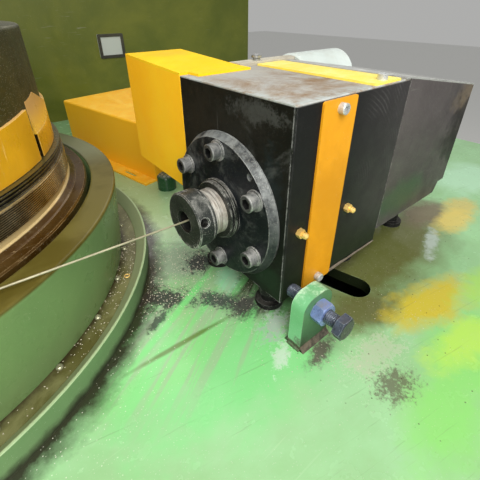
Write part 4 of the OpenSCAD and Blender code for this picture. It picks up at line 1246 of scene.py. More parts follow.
        # Painted highlight along the pockets' rim.
        edge = sh.times(sh.spread(sh.radius(), outer - 0.00002, outer - 0.0003),
                        sh.spread(sh.radius(), outer - 0.0009, outer - 0.0004))
        edge = sh.times(edge, above)
        coat.tint(edge, (0.98, 0.72, 0.26), 0.5)

    def band_lines(self, coat: Coat) -> None:
        """Runs ridges of oil and black grooves round the band above the coil.

        Args:
            coat: Layers laid so far.
        """
        sh = coat.sh
        wave = sh.calc("SINE", sh.times(sh.axis(2), 2 * math.pi / 0.0042))
        coat.tint(sh.spread(wave, -0.1, 0.5), (0.115, 0.095, 0.030))
        coat.tint(sh.spread(wave, -0.3, -0.6), (0.005, 0.004, 0.003))
        coat.lift(wave, 1.5)

    def section(self, turn: float, inner: float, outer: float) -> Profile:
        """Gives a segment's section at an angle past its slit.

        Args:
            turn: Degrees past the slit.
            inner: Inner radius.
            outer: Outer radius.

        Returns:
            Radii and heights above the segment's foot.
        """
        foot, upper, depth = self.outline(turn)
        bevel = 0.0010
        lower_steps = 8
        pocket_steps = 16
        full = self.drum_gap * 0.93 * depth
        profile = [(inner, 0.0), (outer - bevel, 0.0), (outer, bevel)]
        profile += [(outer, bevel + (foot - bevel) * j / lower_steps) for j in range(1, lower_steps + 1)]
        for j in range(1, pocket_steps + 1):
            t = j / pocket_steps
            profile.append((outer - full * math.sin(math.pi / 2 * t) ** 0.6, foot + (upper - foot) * t))
        return [*profile, (inner, upper)]

    def segments(self) -> None:
        """Builds the yellow segments, each with a hollowed pocket beside its slit."""
        low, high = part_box("capstan_segments")
        outer = high[0]
        spacing = 360.0 / self.segment_count
        steps = 120
        parts = []
        for i in range(self.segment_count):
            start = self.first_slit + self.slit / 2 + i * spacing
            stop = start + spacing - self.slit
            rings = []
            for k in range(steps + 1):
                angle = start + (stop - start) * k / steps
                a = math.radians(angle)
                rings.append([Vector((r * math.cos(a), r * math.sin(a), low[2] + z))
                              for r, z in self.section(angle - start, outer - self.segment_t, outer)])
            parts.append(Mesher.skin(rings))
        form = merged(parts)
        material = self.painter.material(SEGMENT_YELLOW, "segment", (), self.hollows)
        Mesher.piece("drum_segments", form, Body.CAPSTAN, "yellow", material, ("capstan_segments",), 35)

    def skirt(self) -> None:
        """Builds the fixed ring round the flange with its skirt, which tapers to the trough."""
        low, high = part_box("capstan_base")
        outer = high[0]
        foot = outer - self.taper
        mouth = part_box("capstan_shell")[1][0] + self.mouth_gap
        bevel = 0.001
        rise = high[2] - self.skirt_edge - low[2]
        profile = [(mouth, low[2]), (foot, low[2])]
        profile += [(foot + (outer - foot) * j / 24, low[2] + rise * j / 24) for j in range(1, 25)]
        profile += edge_round(outer, high[2], self.skirt_edge, 22.5, 4)
        profile += [(outer - (outer - mouth) * j / 8, high[2]) for j in range(1, 8)]
        profile += [(mouth + bevel, high[2]), (mouth, high[2] - bevel)]
        material = self.painter.material(OLIVE, "ring", (), self.ring_gloss)
        Mesher.piece("skirt", Mesher.lathe(profile, 240), Body.MACHINE, "green_olive", material,
                     ("capstan_base",), 50)

    def drum(self) -> None:
        """Builds the dark drum above the segments, with its round upper edge."""
        low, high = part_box("capstan_core")
        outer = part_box("capstan_segments")[1][0] - self.drum_gap
        inner = outer - self.drum_t
        step_r = inner + 0.010
        foot = low[2] + self.drum_foot
        rise = high[2] - self.drum_edge - low[2] - self.drum_foot
        profile = [(inner, low[2]), (step_r, low[2]), (step_r, foot - 0.004), (outer, foot)]
        profile += [(outer, foot + rise * j / 24) for j in range(1, 25)]
        profile += edge_round(outer, high[2], self.drum_edge, 15, 6)
        profile += [(self.crown_r, high[2]), (self.crown_r, high[2] - self.crown_t),
                    (inner, high[2] - self.crown_t)]
        material = self.painter.material(CAST_BLACK)
        Mesher.piece("drum", Mesher.lathe(profile, 180), Body.CAPSTAN, "steel_black", material,
                     ("capstan_core",), 35)

    def dome(self, x: float, y: float, z: float, radius: float, tall: float) -> Form:
        """Makes a round screw head with a dished recess.

        Args:
            x: Place along X.
            y: Place along Y.
            z: Height of its seat.
            radius: Radius of the head.
            tall: Height of the head.

        Returns:
            Points and faces.
        """
        profile = ((1.0, 0.0), (1.0, 0.35), (0.86, 0.75), (0.62, 1.0), (0.42, 1.0), (0.34, 0.45),
                   (0.05, 0.40))
        rings = [[Vector((x + radius * share * math.cos(a), y + radius * share * math.sin(a), z + tall * up))
                  for a in around(20)] for share, up in profile]
        return Mesher.skin(rings)

    def trough_fittings(self) -> None:
        """Sets the screws along the skirt's foot and the loose ring that lies in the trough."""
        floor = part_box("trough_lip")[0][2] + self.trough_floor
        heads = []
        for i in range(self.screws):
            angle = math.radians(self.first_screw + i * 360.0 / self.screws)
            x = self.seat_r * math.cos(angle)
            y = self.seat_r * math.sin(angle)
            heads.append(self.dome(x, y, floor, self.screw_r, self.screw_h))
        zinc = self.painter.material(ZINC, "screws")
        Mesher.piece("trough_screws", merged(heads), Body.MACHINE, "steel_bright", zinc, (), 30)
        centre = Vector((self.ring_x, self.ring_y, floor + self.ring_wire))
        rings = []
        for a in around(36):
            out = Vector((math.cos(a), math.sin(a), 0))
            rings.append([centre + out * (self.ring_r + self.ring_wire * math.cos(b))
                          + Vector((0, 0, self.ring_wire * math.sin(b))) for b in around(10)])
        Mesher.piece("loose_ring", Mesher.skin(rings, loop=True), Body.MACHINE, "brass",
                     self.painter.material(BRASS))

    def build(self) -> None:
        """Dresses the capstan and what stands round it."""
        self.coil()
        self.segments()
        self.drum()
        self.skirt()
        self.trough_fittings()
        self.painter.dress("capstan_shell", SHELL, "rim", (), self.flange_rub_and_reflection)
        self.painter.dress("grooved_band", BAND, "band", (), self.band_lines)
        self.painter.dress("capstan_cap", CAST_BLACK)
        self.painter.dress("spindle", SPINDLE)
        self.painter.dress("trough_lip", LIP, "trough", (), self.trough_dirt_and_shade)


@dataclass
class DieBox:
    """Die block with its feet, straps, nipples and far side bar.

    Args:
        painter: Lays on the materials.
        arc_x: Middle of the fly-cut arcs ahead of the block's front.
        arc_z: Their middle above the block's foot.
        seal_steps: Steps along the peeled seal.
        seal_sides: Sides round it.
    """

    painter: Painter
    arc_x: float = 0.070
    arc_z: float = 0.110
    seal_steps: int = 90
    seal_sides: int = 12

    def worn_block(self, coat: Coat) -> None:
        """Makes the top bare, scuffed steel with rust and a painted highlight by its front edges, lightens
        the side, tints it green low down and adds fly-cut arcs.

        Args:
            coat: Layers laid so far.
        """
        sh = coat.sh
        low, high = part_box("die_block")
        side = sh.spread(sh.axis(1), low[1] + 0.0012, low[1] + 0.0004)
        back = sh.spread(sh.axis(0), low[0] + 0.06, high[0] + 0.02)
        warm = sh.blend(back, (0.0095, 0.0095, 0.0100), (0.044, 0.040, 0.042))
        soft = sh.spread(sh.noise(6.0, 5.0, 0.6), 0.3, 0.7, 0.75, 0.95)
        coat.tint(sh.times(side, soft), warm)
        # The side takes a dark green tint towards the bottom.
        lower_side = sh.times(side, sh.spread(sh.axis(2), low[2] + 0.085, low[2] + 0.02))
        coat.tint(lower_side, (0.012, 0.020, 0.009), 0.8)
        dx = sh.calc("SUBTRACT", sh.axis(0), low[0] + self.arc_x)
        dz = sh.calc("SUBTRACT", sh.axis(2), low[2] + self.arc_z)
        arc = sh.hypot(dx, dz)
        wave = sh.calc("SINE", sh.calc("ADD", sh.times(arc, 1300.0), sh.times(sh.noise(8.0, 3.0), 22.0)))
        area = sh.times(sh.spread(sh.axis(0), low[0] + 0.105, low[0] + 0.17),
                        sh.spread(sh.noise(16.0, 6.0), 0.44, 0.62))
        area = sh.times(area, sh.spread(sh.axis(2), high[2] - 0.17, high[2] - 0.05))
        lines = sh.times(sh.spread(wave, 0.2, 0.95), area, side)
        coat.tint(lines, (0.22, 0.21, 0.21), 0.20)
        smear = sh.times(sh.spread(sh.noise(11.0, 7.0, 0.7, warp=0.8), 0.56, 0.70),
                         sh.facing(0, -0.85, -0.97))
        coat.tint(smear, (0.20, 0.21, 0.20), 0.22)
        top = sh.spread(sh.axis(2), high[2] - 0.0022, high[2] - 0.0006)
        rust = sh.spread(sh.noise(14.0, 8.0, 0.72, warp=0.5), 0.34, 0.62)
        bare = sh.blend(rust, (0.36, 0.355, 0.33), (0.23, 0.145, 0.075))
        pale = sh.spread(sh.noise(60.0, 9.0, 0.8), 0.50, 0.66)
        bare = sh.blend(sh.times(pale, 0.55), bare, (0.46, 0.45, 0.40))
        far = sh.spread(sh.axis(1), low[1] + 0.11, low[1] + 0.19)
        bare = sh.blend(sh.times(far, 0.6), bare, (0.42, 0.42, 0.39))
        # Painted highlight: pale blue-white patches on the top near its front and side edges.
        rim = sh.calc("MAXIMUM", sh.spread(sh.axis(1), low[1] + 0.026, low[1] + 0.006),
                      sh.spread(sh.axis(0), low[0] + 0.020, low[0] + 0.005))
        near_edge_highlight = sh.times(rim, sh.spread(sh.noise(50.0, 8.0, 0.75), 0.36, 0.60))
        bare = sh.blend(sh.times(near_edge_highlight, 0.75), bare, (0.44, 0.50, 0.50))
        coat.tint(top, bare, 0.97)
        coat.polish(top, 0.62)

    def peeled_seal(self) -> None:
        """Lays the brown seal that has peeled into a lumpy strip along the block's lower edge."""
        low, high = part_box("side_gasket")
        rng = random.Random(5)
        rings = []
        for i in range(self.seal_steps + 1):
            t = i / self.seal_steps
            x = low[0] + (high[0] - low[0]) * t
            lump = 1.0 + 0.28 * math.sin(9.0 * t + 0.4) * (1 - t) + rng.uniform(-0.05, 0.05)
            slim = 0.5 * (high[2] - low[2]) * (1.0 - 0.45 * t)
            tall = slim * min(1.25, lump) * min(1.0, 8 * (1 - t) + 0.25)
            thick = 0.5 * (high[1] - low[1]) * (0.95 - 0.25 * t)
            middle = low[2] + (high[2] - low[2]) * (0.48 + 0.07 * math.sin(14.0 * t) * (1 - 0.5 * t))
            y = high[1] - thick
            ring = []
            for a in around(self.seal_sides):
                bend = 1.0 + 0.12 * math.sin(3 * a + 20 * t)
                up = min(high[2], max(low[2], middle + tall * bend * math.sin(a)))
                ring.append(Vector((x, min(high[1], max(low[1], y + thick * bend * math.cos(a))), up)))
            rings.append(ring)
        form = Mesher.skin(rings)
        Mesher.piece("peeled_seal", form, Body.MACHINE, "seal_brown", self.painter.material(SEAL),
                     ("side_gasket",), 60)

    def build(self) -> None:
        """Dresses the die box."""
        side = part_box("die_block")[0][1]
        stains = (
            Stain((0.439, -0.260, 1.085), (0.03, 0.050, 0.060), (0.024, 0.020, 0.014), 0.5, 0, 0.8, 0.5, 0.6),
            Stain((0.439, -0.375, 1.122), (0.03, 0.050, 0.014), (0.070, 0.072, 0.066), 0.6, 0, 1.0, 0.9, 0.7),
            Stain((0.439, -0.330, 1.100), (0.03, 0.060, 0.030), (0.022, 0.021, 0.017), 0.5, 0, 0.9, 0.8, 0.6),
            Stain((0.439, -0.400, 1.030), (0.03, 0.020, 0.070), (0.013, 0.020, 0.021), 0.6, 0, 0.8, 0.5, 0.5),
            Stain((0.439, -0.400, 0.915), (0.03, 0.040, 0.030), (0.012, 0.026, 0.014), 0.7, 0, 0.6, 0.2, 0.3),
            Stain((0.461, side, 0.9915), (0.013, 0.02, 0.017), (0.006, 0.008, 0.007), 0.9, 0, 0.5, 0.1, 0.2),
            Stain((0.552, side, 0.9915), (0.013, 0.02, 0.017), (0.006, 0.010, 0.008), 0.8, 0, 0.5, 0.1, 0.2),
        )
        self.painter.dress("die_block", BLACK, "block", stains, self.worn_block)
        self.painter.dress("block_feet", FEET)
        self.painter.dress("soap_stand", FEET)
        self.painter.dress("side_strap", SHADED_STRAP_YELLOW, "strap")
        self.painter.dress("top_strap", TOP_YELLOW, "strap")
        self.painter.dress("strap_screws", CHROME)
        self.painter.dress("brass_nipples", BRASS)
        self.peeled_seal()
        self.painter.dress("block_rail", RAIL)
        self.painter.dress("rail_knob", KNOB)


@dataclass
class DieHolder:
    """Flange plate, screws, collar, nut and the sleeve that turns with it.

    Args:
        painter: Lays on the materials.
        screws: Number of flange screws.
        screw_ring: Radius on which they sit.
        head_r: Radius of a screw's head.
        socket_r: Radius of its socket.
        socket_depth: Depth of its socket.
    """

    painter: Painter
    screws: int = 6
    screw_ring: float = 0.0795
    head_r: float = 0.0100
    socket_r: float = 0.0072
    socket_depth: float = 0.0080

    @staticmethod
    def hub(sh: Shader) -> tuple[Socket, Socket, Socket]:
        """Gives the place sideways of the holder's axis, the height above it and the distance from it.

        Args:
            sh: Lays down the nodes.

        Returns:
            The three lengths.
        """
        low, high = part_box("die_nut")
        side = sh.calc("SUBTRACT", sh.axis(1), (low[1] + high[1]) / 2)
        rise = sh.calc("SUBTRACT", sh.axis(2), (low[2] + high[2]) / 2)
        return side, rise, sh.hypot(side, rise)

    def dark_front(self, coat: Coat) -> None:
        """Paints shade on the screws' front faces and into their sockets, so that their sides stand out.

        Args:
            coat: Layers laid so far.
        """
        sh = coat.sh
        front_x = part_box("flange_screws")[0][0]
        side, rise, away = self.hub(sh)
        turn = sh.times(sh.calc("ARCTAN2", side, rise), self.screws / (2 * math.pi))
        off = sh.times(sh.calc("SUBTRACT", sh.calc("FRACT", sh.calc("ADD", turn, 0.5)), 0.5),
                       2 * math.pi / self.screws)
        along = sh.calc("SUBTRACT", sh.times(away, sh.calc("COSINE", off)), self.screw_ring)
        across = sh.times(away, sh.calc("SINE", off))
        gap = sh.hypot(along, across)
        # Painted shade on the front faces.
        front = sh.times(sh.spread(sh.axis(0), front_x + 0.0006, front_x + 0.0002),
                         sh.spread(gap, self.head_r, self.head_r - 0.0006))
        coat.tint(front, (0.030, 0.033, 0.031), 0.75)
        # Painted shade in the sockets.
        socket = sh.times(sh.spread(sh.axis(0), front_x + self.socket_depth,
                                    front_x + self.socket_depth - 0.0004),
                          sh.spread(gap, self.socket_r, self.socket_r - 0.0003),
                          sh.spread(sh.axis(0), front_x + 0.0001, front_x + 0.0004))
        coat.tint(socket, (0.003, 0.003, 0.003), 0.96)

    def rubbed_and_lit_rim(self, coat: Coat) -> None:
        """Makes the flange's rubbed rim lighter than its face, with a painted highlight that grows lighter
        towards the top.

        Args:
            coat: Layers laid so far.
        """
        sh = coat.sh
        # Rubbed rim with a painted highlight, lighter higher up.
        rim = sh.times(sh.facing(0, -0.75, -0.45), sh.spread(sh.noise(45.0, 6.0, 0.7), 0.30, 0.62))
        tone = sh.blend(sh.spread(sh.axis(2), 0.955, 1.060), (0.045, 0.048, 0.047), (0.30, 0.32, 0.31))
        coat.tint(rim, tone, 0.85)
        face = sh.times(sh.facing(0, -0.85, -0.97),
                        sh.spread(sh.noise(26.0, 7.0, 0.75, warp=0.6), 0.50, 0.66))
        coat.tint(face, (0.20, 0.21, 0.20), 0.30)

    def dark_bore(self, coat: Coat) -> None:
        """Paints shade into the nut's bore.

        Args:
            coat: Layers laid so far.
        """
        sh = coat.sh
        low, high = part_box("die_nut")
        rise, away = self.hub(sh)[1:]
        reach = (high[2] - low[2]) / 2
        ahead = sh.spread(sh.axis(0), low[0] + 0.0190, low[0] + 0.0180)
        hollow = sh.calc("MAXIMUM", sh.spread(away, reach * 0.66, reach * 0.60),
                         sh.times(ahead, sh.spread(away, reach - 0.0014, reach - 0.0024)))
        # Painted shade in the bore.
        bore = sh.times(hollow, sh.facing(0, -0.95, -0.80))
        coat.tint(bore, (0.004, 0.004, 0.0035), 0.95)
        below = sh.spread(rise, 0.010, -0.024)
        rim = sh.times(sh.facing(0, -0.35, -0.60), below, sh.spread(away, reach * 0.80, reach * 0.95))
        chips = sh.times(rim, sh.spread(sh.noise(170.0, 6.0, 0.7), 0.50, 0.58))
        coat.tint(chips, (0.56, 0.56, 0.52), 0.8)

    def turned(self, coat: Coat) -> None:
        """Runs dark turning marks round the bright sleeve.

        Args:
            coat: Layers laid so far.
        """
        sh = coat.sh
        rings = sh.noise(620.0, 3.0, 0.6, (1.0, 0.02, 0.02))
        coat.tint(sh.spread(rings, 0.50, 0.60), (0.17, 0.150, 0.125), 0.75)
        cross = sh.noise(500.0, 3.0, 0.6, (1.0, 0.08, 0.08), (0, 0, 24))
        coat.tint(sh.spread(cross, 0.56, 0.64), (0.26, 0.19, 0.14), 0.6)
        coat.lift(rings, 1.5)

    def build(self) -> None:
        """Paints the die holder's solids."""
        self.painter.dress("flange_plate", PLATE, "rim", (), self.rubbed_and_lit_rim)
        self.painter.dress("flange_screws", SCREW, "front", (), self.dark_front)
        self.painter.dress("seal_collar", COLLAR)
        self.painter.dress("die_sleeve", SLEEVE, "turned", (), self.turned)
        self.painter.dress("die_nut", NUT, "nut", (), self.dark_bore)


@dataclass
class SoapBox:
    """Soap box behind the die block with its lid and the motor beside it.

    Args:
        painter: Lays on the materials.
        sweep_x: Middle of the cutter's sweeps along X.
        sweep_z: Their middle's height.
    """

    painter: Painter
    sweep_x: float = 0.90
    sweep_z: float = 0.98

    def swept_arcs(self, coat: Coat) -> None:
        """Adds the long pale sweeps that a cutter left across the side.

        Args:
            coat: Layers laid so far.
        """
        sh = coat.sh
        dx = sh.calc("SUBTRACT", sh.axis(0), self.sweep_x)
        dz = sh.calc("SUBTRACT", sh.axis(2), self.sweep_z)
        arc = sh.hypot(dx, dz)
        loose = sh.times(sh.noise(5.0, 3.0, 0.6), 30.0)
        wave = sh.calc("SINE", sh.calc("ADD", sh.times(arc, 900.0), loose))
        area = sh.spread(sh.noise(22.0, 8.0, 0.75), 0.52, 0.64)
        lines = sh.times(sh.spread(wave, 0.82, 0.99), area)
        coat.tint(lines, (0.20, 0.18, 0.17), 0.12)
        drawn = sh.noise(240.0, 4.0, 0.6, (1.0, 1.0, 0.025), (0, 38, 0))
        worn = sh.spread(sh.noise(7.0, 5.0, 0.6), 0.42, 0.60)
        marks = sh.times(sh.spread(drawn, 0.58, 0.68), worn)
        coat.tint(marks, (0.19, 0.17, 0.155), 0.45)
        soot = sh.times(sh.spread(sh.axis(0), 0.76, 0.85), sh.spread(sh.noise(16.0, 5.0, 0.6), 0.44, 0.56))
        coat.tint(soot, (0.012, 0.010, 0.010), 0.8)

    def build(self) -> None:
        """Paints the soap box's solids."""
        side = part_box("soap_box")[0][1]
        stains = (
            Stain((0.70, side, 0.955), (0.10, 0.03, 0.035), (0.030, 0.060, 0.032), 0.8, 0, 0.5, 0.0, 0.3),
            Stain((0.87, side, 1.03), (0.06, 0.03, 0.05), (0.018, 0.014, 0.012), 0.85, 0, 0.7, 0.2, 0.5),
            Stain((0.86, side, 1.09), (0.06, 0.03, 0.03), (0.18, 0.13, 0.07), 0.5, 0, 0.6, 0.0, 0.5),
        )
        self.painter.dress("soap_box", BOX_BLACK, "soap_box", stains, self.swept_arcs)
        self.painter.dress("soap_lid", SOAPY_STEEL)
        self.painter.dress("side_motor", MOTOR)


@dataclass
class Guards:
    """Yellow belt guard with its lid, and the duct on the deck.

    Args:
        painter: Lays on the materials.
        faded_x: Middle of the lid's faded patch along X.
        faded_inset: Its distance from the lid's rear edge.
    """

    painter: Painter
    faded_x: float = 0.500
    faded_inset: float = 0.03

    def build(self) -> None:
        """Paints the guards."""
        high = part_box("guard_lid")[1]
        middle = (self.faded_x, high[1] - self.faded_inset, high[2])
        faded = (Stain(middle, (0.05, 0.03, 0.02), (0.70, 0.44, 0.04), 0.5, 0, 0.6),)
        self.painter.dress("belt_guard", GUARD_YELLOW, "sheet")
        self.painter.dress("guard_lid", LID_YELLOW, "lid", faded)
        self.painter.dress("drive_duct", DUCT_YELLOW)


@dataclass
class JackBolt:
    """Threaded jack bolt with a chamfered hexagon head.

    Args:
        painter: Lays on the materials.
        name: Name of the piece.
        node: Solid that it stands for.
        body: Body it rides on.
        thread_r: Radius over the thread.
        depth: Depth of the thread.
        pitch: Pitch of the thread.
        head_h: Height of the head.
        across: Width across the flats.
        thread_end: How far the thread runs from the tip.
        crown: Radius of the head's turned face, as a share of the width across the flats.
        rim_edge: Height of the bevel round that face.
        taper: Length over which the thread fades out and the tip narrows.
        sides: Points round the shank.
        per_turn: Rows of points in a turn of the thread.
    """

    painter: Painter
    name: str
    node: str
    body: Body
    thread_r: float = 0.009
    depth: float = 0.0013
    pitch: float = 0.0025
    head_h: float = 0.0117
    across: float = 0.027
    thread_end: float = 0.073
    crown: float = 0.47
    rim_edge: float = 0.0004
    taper: float = 0.002
    sides: int = 28
    per_turn: int = 7

    @staticmethod
    def end_face(coat: Coat) -> None:
        """Paints shade on the end face of the bolt's head.

        Args:
            coat: Layers laid so far.
        """
        sh = coat.sh
        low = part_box("jack_bolt")[0]
        end = sh.spread(sh.axis(1), low[1] + 0.0012, low[1] + 0.0004)
        coat.tint(end, (0.030, 0.034, 0.028), 0.85)

    def head(self, place: Placer) -> Form:
        """Makes the hexagon head with its turned chamfer.

        Args:
            place: Maps distance along the bolt, radius and angle to a point.

        Returns:
            Points and faces.
        """
        flat = self.across / 2
        crown = self.crown * self.across
        rim, chamfer, corner, wall, seat = [], [], [], [], []
        for angle in around(72):
            local = (angle + math.pi / 6) % (math.pi / 3) - math.pi / 6
            hexagon = flat / math.cos(local)
            drop = self.rim_edge + max(0.0, hexagon - crown) * math.tan(math.radians(30))
            rim.append(place(0.0, crown * 0.97, angle))
            chamfer.append(place(self.rim_edge, crown, angle))
            corner.append(place(drop, hexagon, angle))
            wall.append(place(self.head_h - 0.0006, hexagon, angle))
            seat.append(place(self.head_h, flat * 0.96, angle))
        return Mesher.skin([rim, chamfer, corner, wall, seat])

    def shank(self, length: float, place: Placer) -> Form:
        """Makes the shank with a helical thread that fades out before the head.

        Args:
            length: Whole length of the bolt.
            place: Maps distance along the bolt, radius and angle to a point.

        Returns:
            Points and faces.
        """
        rings = []
        start = self.head_h * 0.8
        row = self.pitch / self.per_turn
        for i in range(int((length - start) / row) + 2):
            s = min(length, start + i * self.pitch / self.per_turn)
            fade = min(1.0, max(0.0, (s - (length - self.thread_end)) / self.taper))
            tip = min(1.0, (length - s) / self.taper)
            ring = []
            for angle in around(self.sides):
                phase = (s / self.pitch - angle / (2 * math.pi)) % 1.0
                cut = abs(2 * phase - 1) * self.depth * fade
                radius = (self.thread_r - 0.00005 - cut) - (1 - tip) * 0.0018
                ring.append(place(s, radius, angle))
            rings.append(ring)
        return Mesher.skin(rings)

    def build(self) -> None:
        """Builds the bolt in its node's place."""
        low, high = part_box(self.node)
        x = (low[0] + high[0]) / 2
        z = (low[2] + high[2]) / 2
        length = high[1] - low[1]

        def place(s: float, radius: float, angle: float) -> Vector:
            """Gives the point at a distance, radius and angle."""
            lead = angle + math.radians(90)
            return Vector((x + radius * math.cos(lead), low[1] + s, z + radius * math.sin(lead)))

        form = merged((self.head(place), self.shank(length, place)))
        material = self.painter.material(BLUED, "bolt", (), self.end_face)
        Mesher.piece(self.name, form, self.body, "bolt_blue", material, (self.node,), 35)


@dataclass
class Jack:
    """Jack bracket with its nut, weld bead and threaded bolt.

    Args:
        painter: Lays on the materials.
        bead_w: Half width of the weld bead.
        bead_h: Half height of the weld bead.
        ripple: Distance from ripple to ripple along the bead.
        bead_step: Distance from section to section along the bead.
        inset: How far the bead lies under the bracket's faces.
        raised: Height of the bead's middle above the bracket's foot.
    """

    painter: Painter
    bead_w: float = 0.0030
    bead_h: float = 0.0026
    ripple: float = 0.0052
    bead_step: float = 0.0014
    inset: float = 0.006
    raised: float = 0.0005

    def shaded_face(self, coat: Coat) -> None:
        """Darkens the outer face towards its foot, painted shade with some dirt.

        Args:
            coat: Layers laid so far.
        """
        sh = coat.sh
        low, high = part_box("jack_bracket")
        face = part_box("jack_nut")[1][1]
        outer = sh.spread(sh.axis(1), face + 0.0009, face + 0.0003)
        tone = sh.blend(sh.spread(sh.axis(2), low[2] + 0.010, high[2] - 0.012), (0.016, 0.036, 0.014),
                        (0.060, 0.140, 0.060))
        coat.tint(outer, tone, 0.85)
        ragged = sh.calc("SUBTRACT", sh.axis(2), sh.times(sh.noise(120.0, 4.0), 0.004))
        foot = sh.spread(ragged, low[2] + 0.0065, low[2] + 0.0045)
        scale = sh.blend(sh.spread(sh.noise(160.0, 5.0, 0.7), 0.40, 0.60), (0.030, 0.018, 0.011),
                         (0.110, 0.082, 0.055))
        coat.tint(foot, scale, 0.9)

    def weld(self, name: str, node: str) -> None:
        """Lays a weld bead round the foot of a bracket.

        Args:
            name: Name of the bead.
            node: The bracket.
        """
        low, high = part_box(node)
        z = low[2] + self.raised
        near = low[1] + self.inset
        far = high[1] - self.inset
        corners = [Vector((x, y, z))
                   for x, y in ((low[0], near), (high[0], near), (high[0], far), (low[0], far))]
        rng = random.Random(7)
        parts = []
        for i, start in enumerate(corners):
            end = corners[(i + 1) % 4]
            span = (end - start).length
            across = (end - start).normalized().cross(Vector((0, 0, 1)))
            steps = max(6, int(span / self.bead_step))
            rings = []
            swell = 1.0
            for k in range(steps + 1):
                t = k / steps
                swell = 0.8 * swell + 0.2 * rng.uniform(0.7, 1.3)
                size = swell * (0.86 + 0.14 * abs(math.sin(math.pi * t * span / self.ripple)))
                centre = start.lerp(end, t)
                rings.append([centre + across * self.bead_w * size * math.cos(a)
                              + Vector((0, 0, self.bead_h * size * math.sin(a))) for a in around(10)])
            parts.append(Mesher.skin(rings))
        material = self.painter.material(WELD, "weld")
        Mesher.piece(name, merged(parts), Body.MACHINE, "green_mint", material, (), 60)

    def build(self) -> None:
        """Dresses the jack."""
        low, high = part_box("jack_bracket")
        face = low[1] + 0.008
        middle = (low[0] + high[0]) / 2 + 0.010
        near = (low[0] + 0.004, face, low[2] + 0.012)
        far = (high[0], face, low[2] + 0.010)
        chips = (
            Stain(near, (0.010, 0.010, 0.012), (0.10, 0.09, 0.07), 0.8, 0, 0.9, 0.6),
            Stain(far, (0.012, 0.012, 0.014), (0.12, 0.10, 0.07), 0.8, 0, 0.9, 0.6),
            Stain((middle, face, high[2] - 0.030), (0.020, 0.006, 0.020), (0.05, 0.13, 0.06), 0.7, 0, 0.6),
        )
        self.painter.dress("jack_bracket", MINT, "bracket", chips, self.shaded_face)
        self.painter.dress("jack_nut", NUT_BLUE, "nut")
        self.weld("near_weld", "jack_bracket")
        JackBolt(self.painter, "jack_thread", "jack_bolt", Body.JACK).build()


@dataclass
class WireLine:
    """Wire that runs from the soap box through the die and climbs to the capstan.

    Args:
        painter: Lays on the materials.
        meeting_x: Place along X where it meets the coil.
        climb_steps: Steps from there to the die nut.
        level_steps: Steps from the die nut to its far end.
        sides: Sides round the wire.
    """

    painter: Painter
    meeting_x: float = 0.004
    climb_steps: int = 60
    level_steps: int = 80
    sides: int = 16

    def build(self) -> None:
        """Builds the wire along its solid, on to where it meets the capstan."""
        low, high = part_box("drawn_wire")
        y = (low[1] + high[1]) / 2
        radius = (high[1] - low[1]) / 2
        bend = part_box("die_nut")[0][0]
        level = low[2] + radius
        slope = (high[2] - radius - level) / (bend - low[0])
        path = []
        for i in range(self.climb_steps + 1):
            x = self.meeting_x + (bend - self.meeting_x) * i / self.climb_steps
            path.append(Vector((x, y, level + slope * (bend - x))))
        for i in range(1, self.level_steps + 1):
            path.append(Vector((bend + (high[0] - bend) * i / self.level_steps, y, level)))
        form = Mesher.tube(path, radius, self.sides)
        Mesher.piece("wire_run", form, Body.MACHINE, "wire_steel", self.painter.material(DRAWN),
                     ("drawn_wire",))


@dataclass(frozen=True)
class Spill:
    """An area over which crumbs are strewn.

    Args:
        centre: Middle of the area.
        reach: Half sizes.
        z: Height of the surface.
        count: Number of crumbs.
        size: Largest crumb.
    """

    centre: tuple[float, float]
    reach: tuple[float, float]
    z: float
    count: int
    size: float


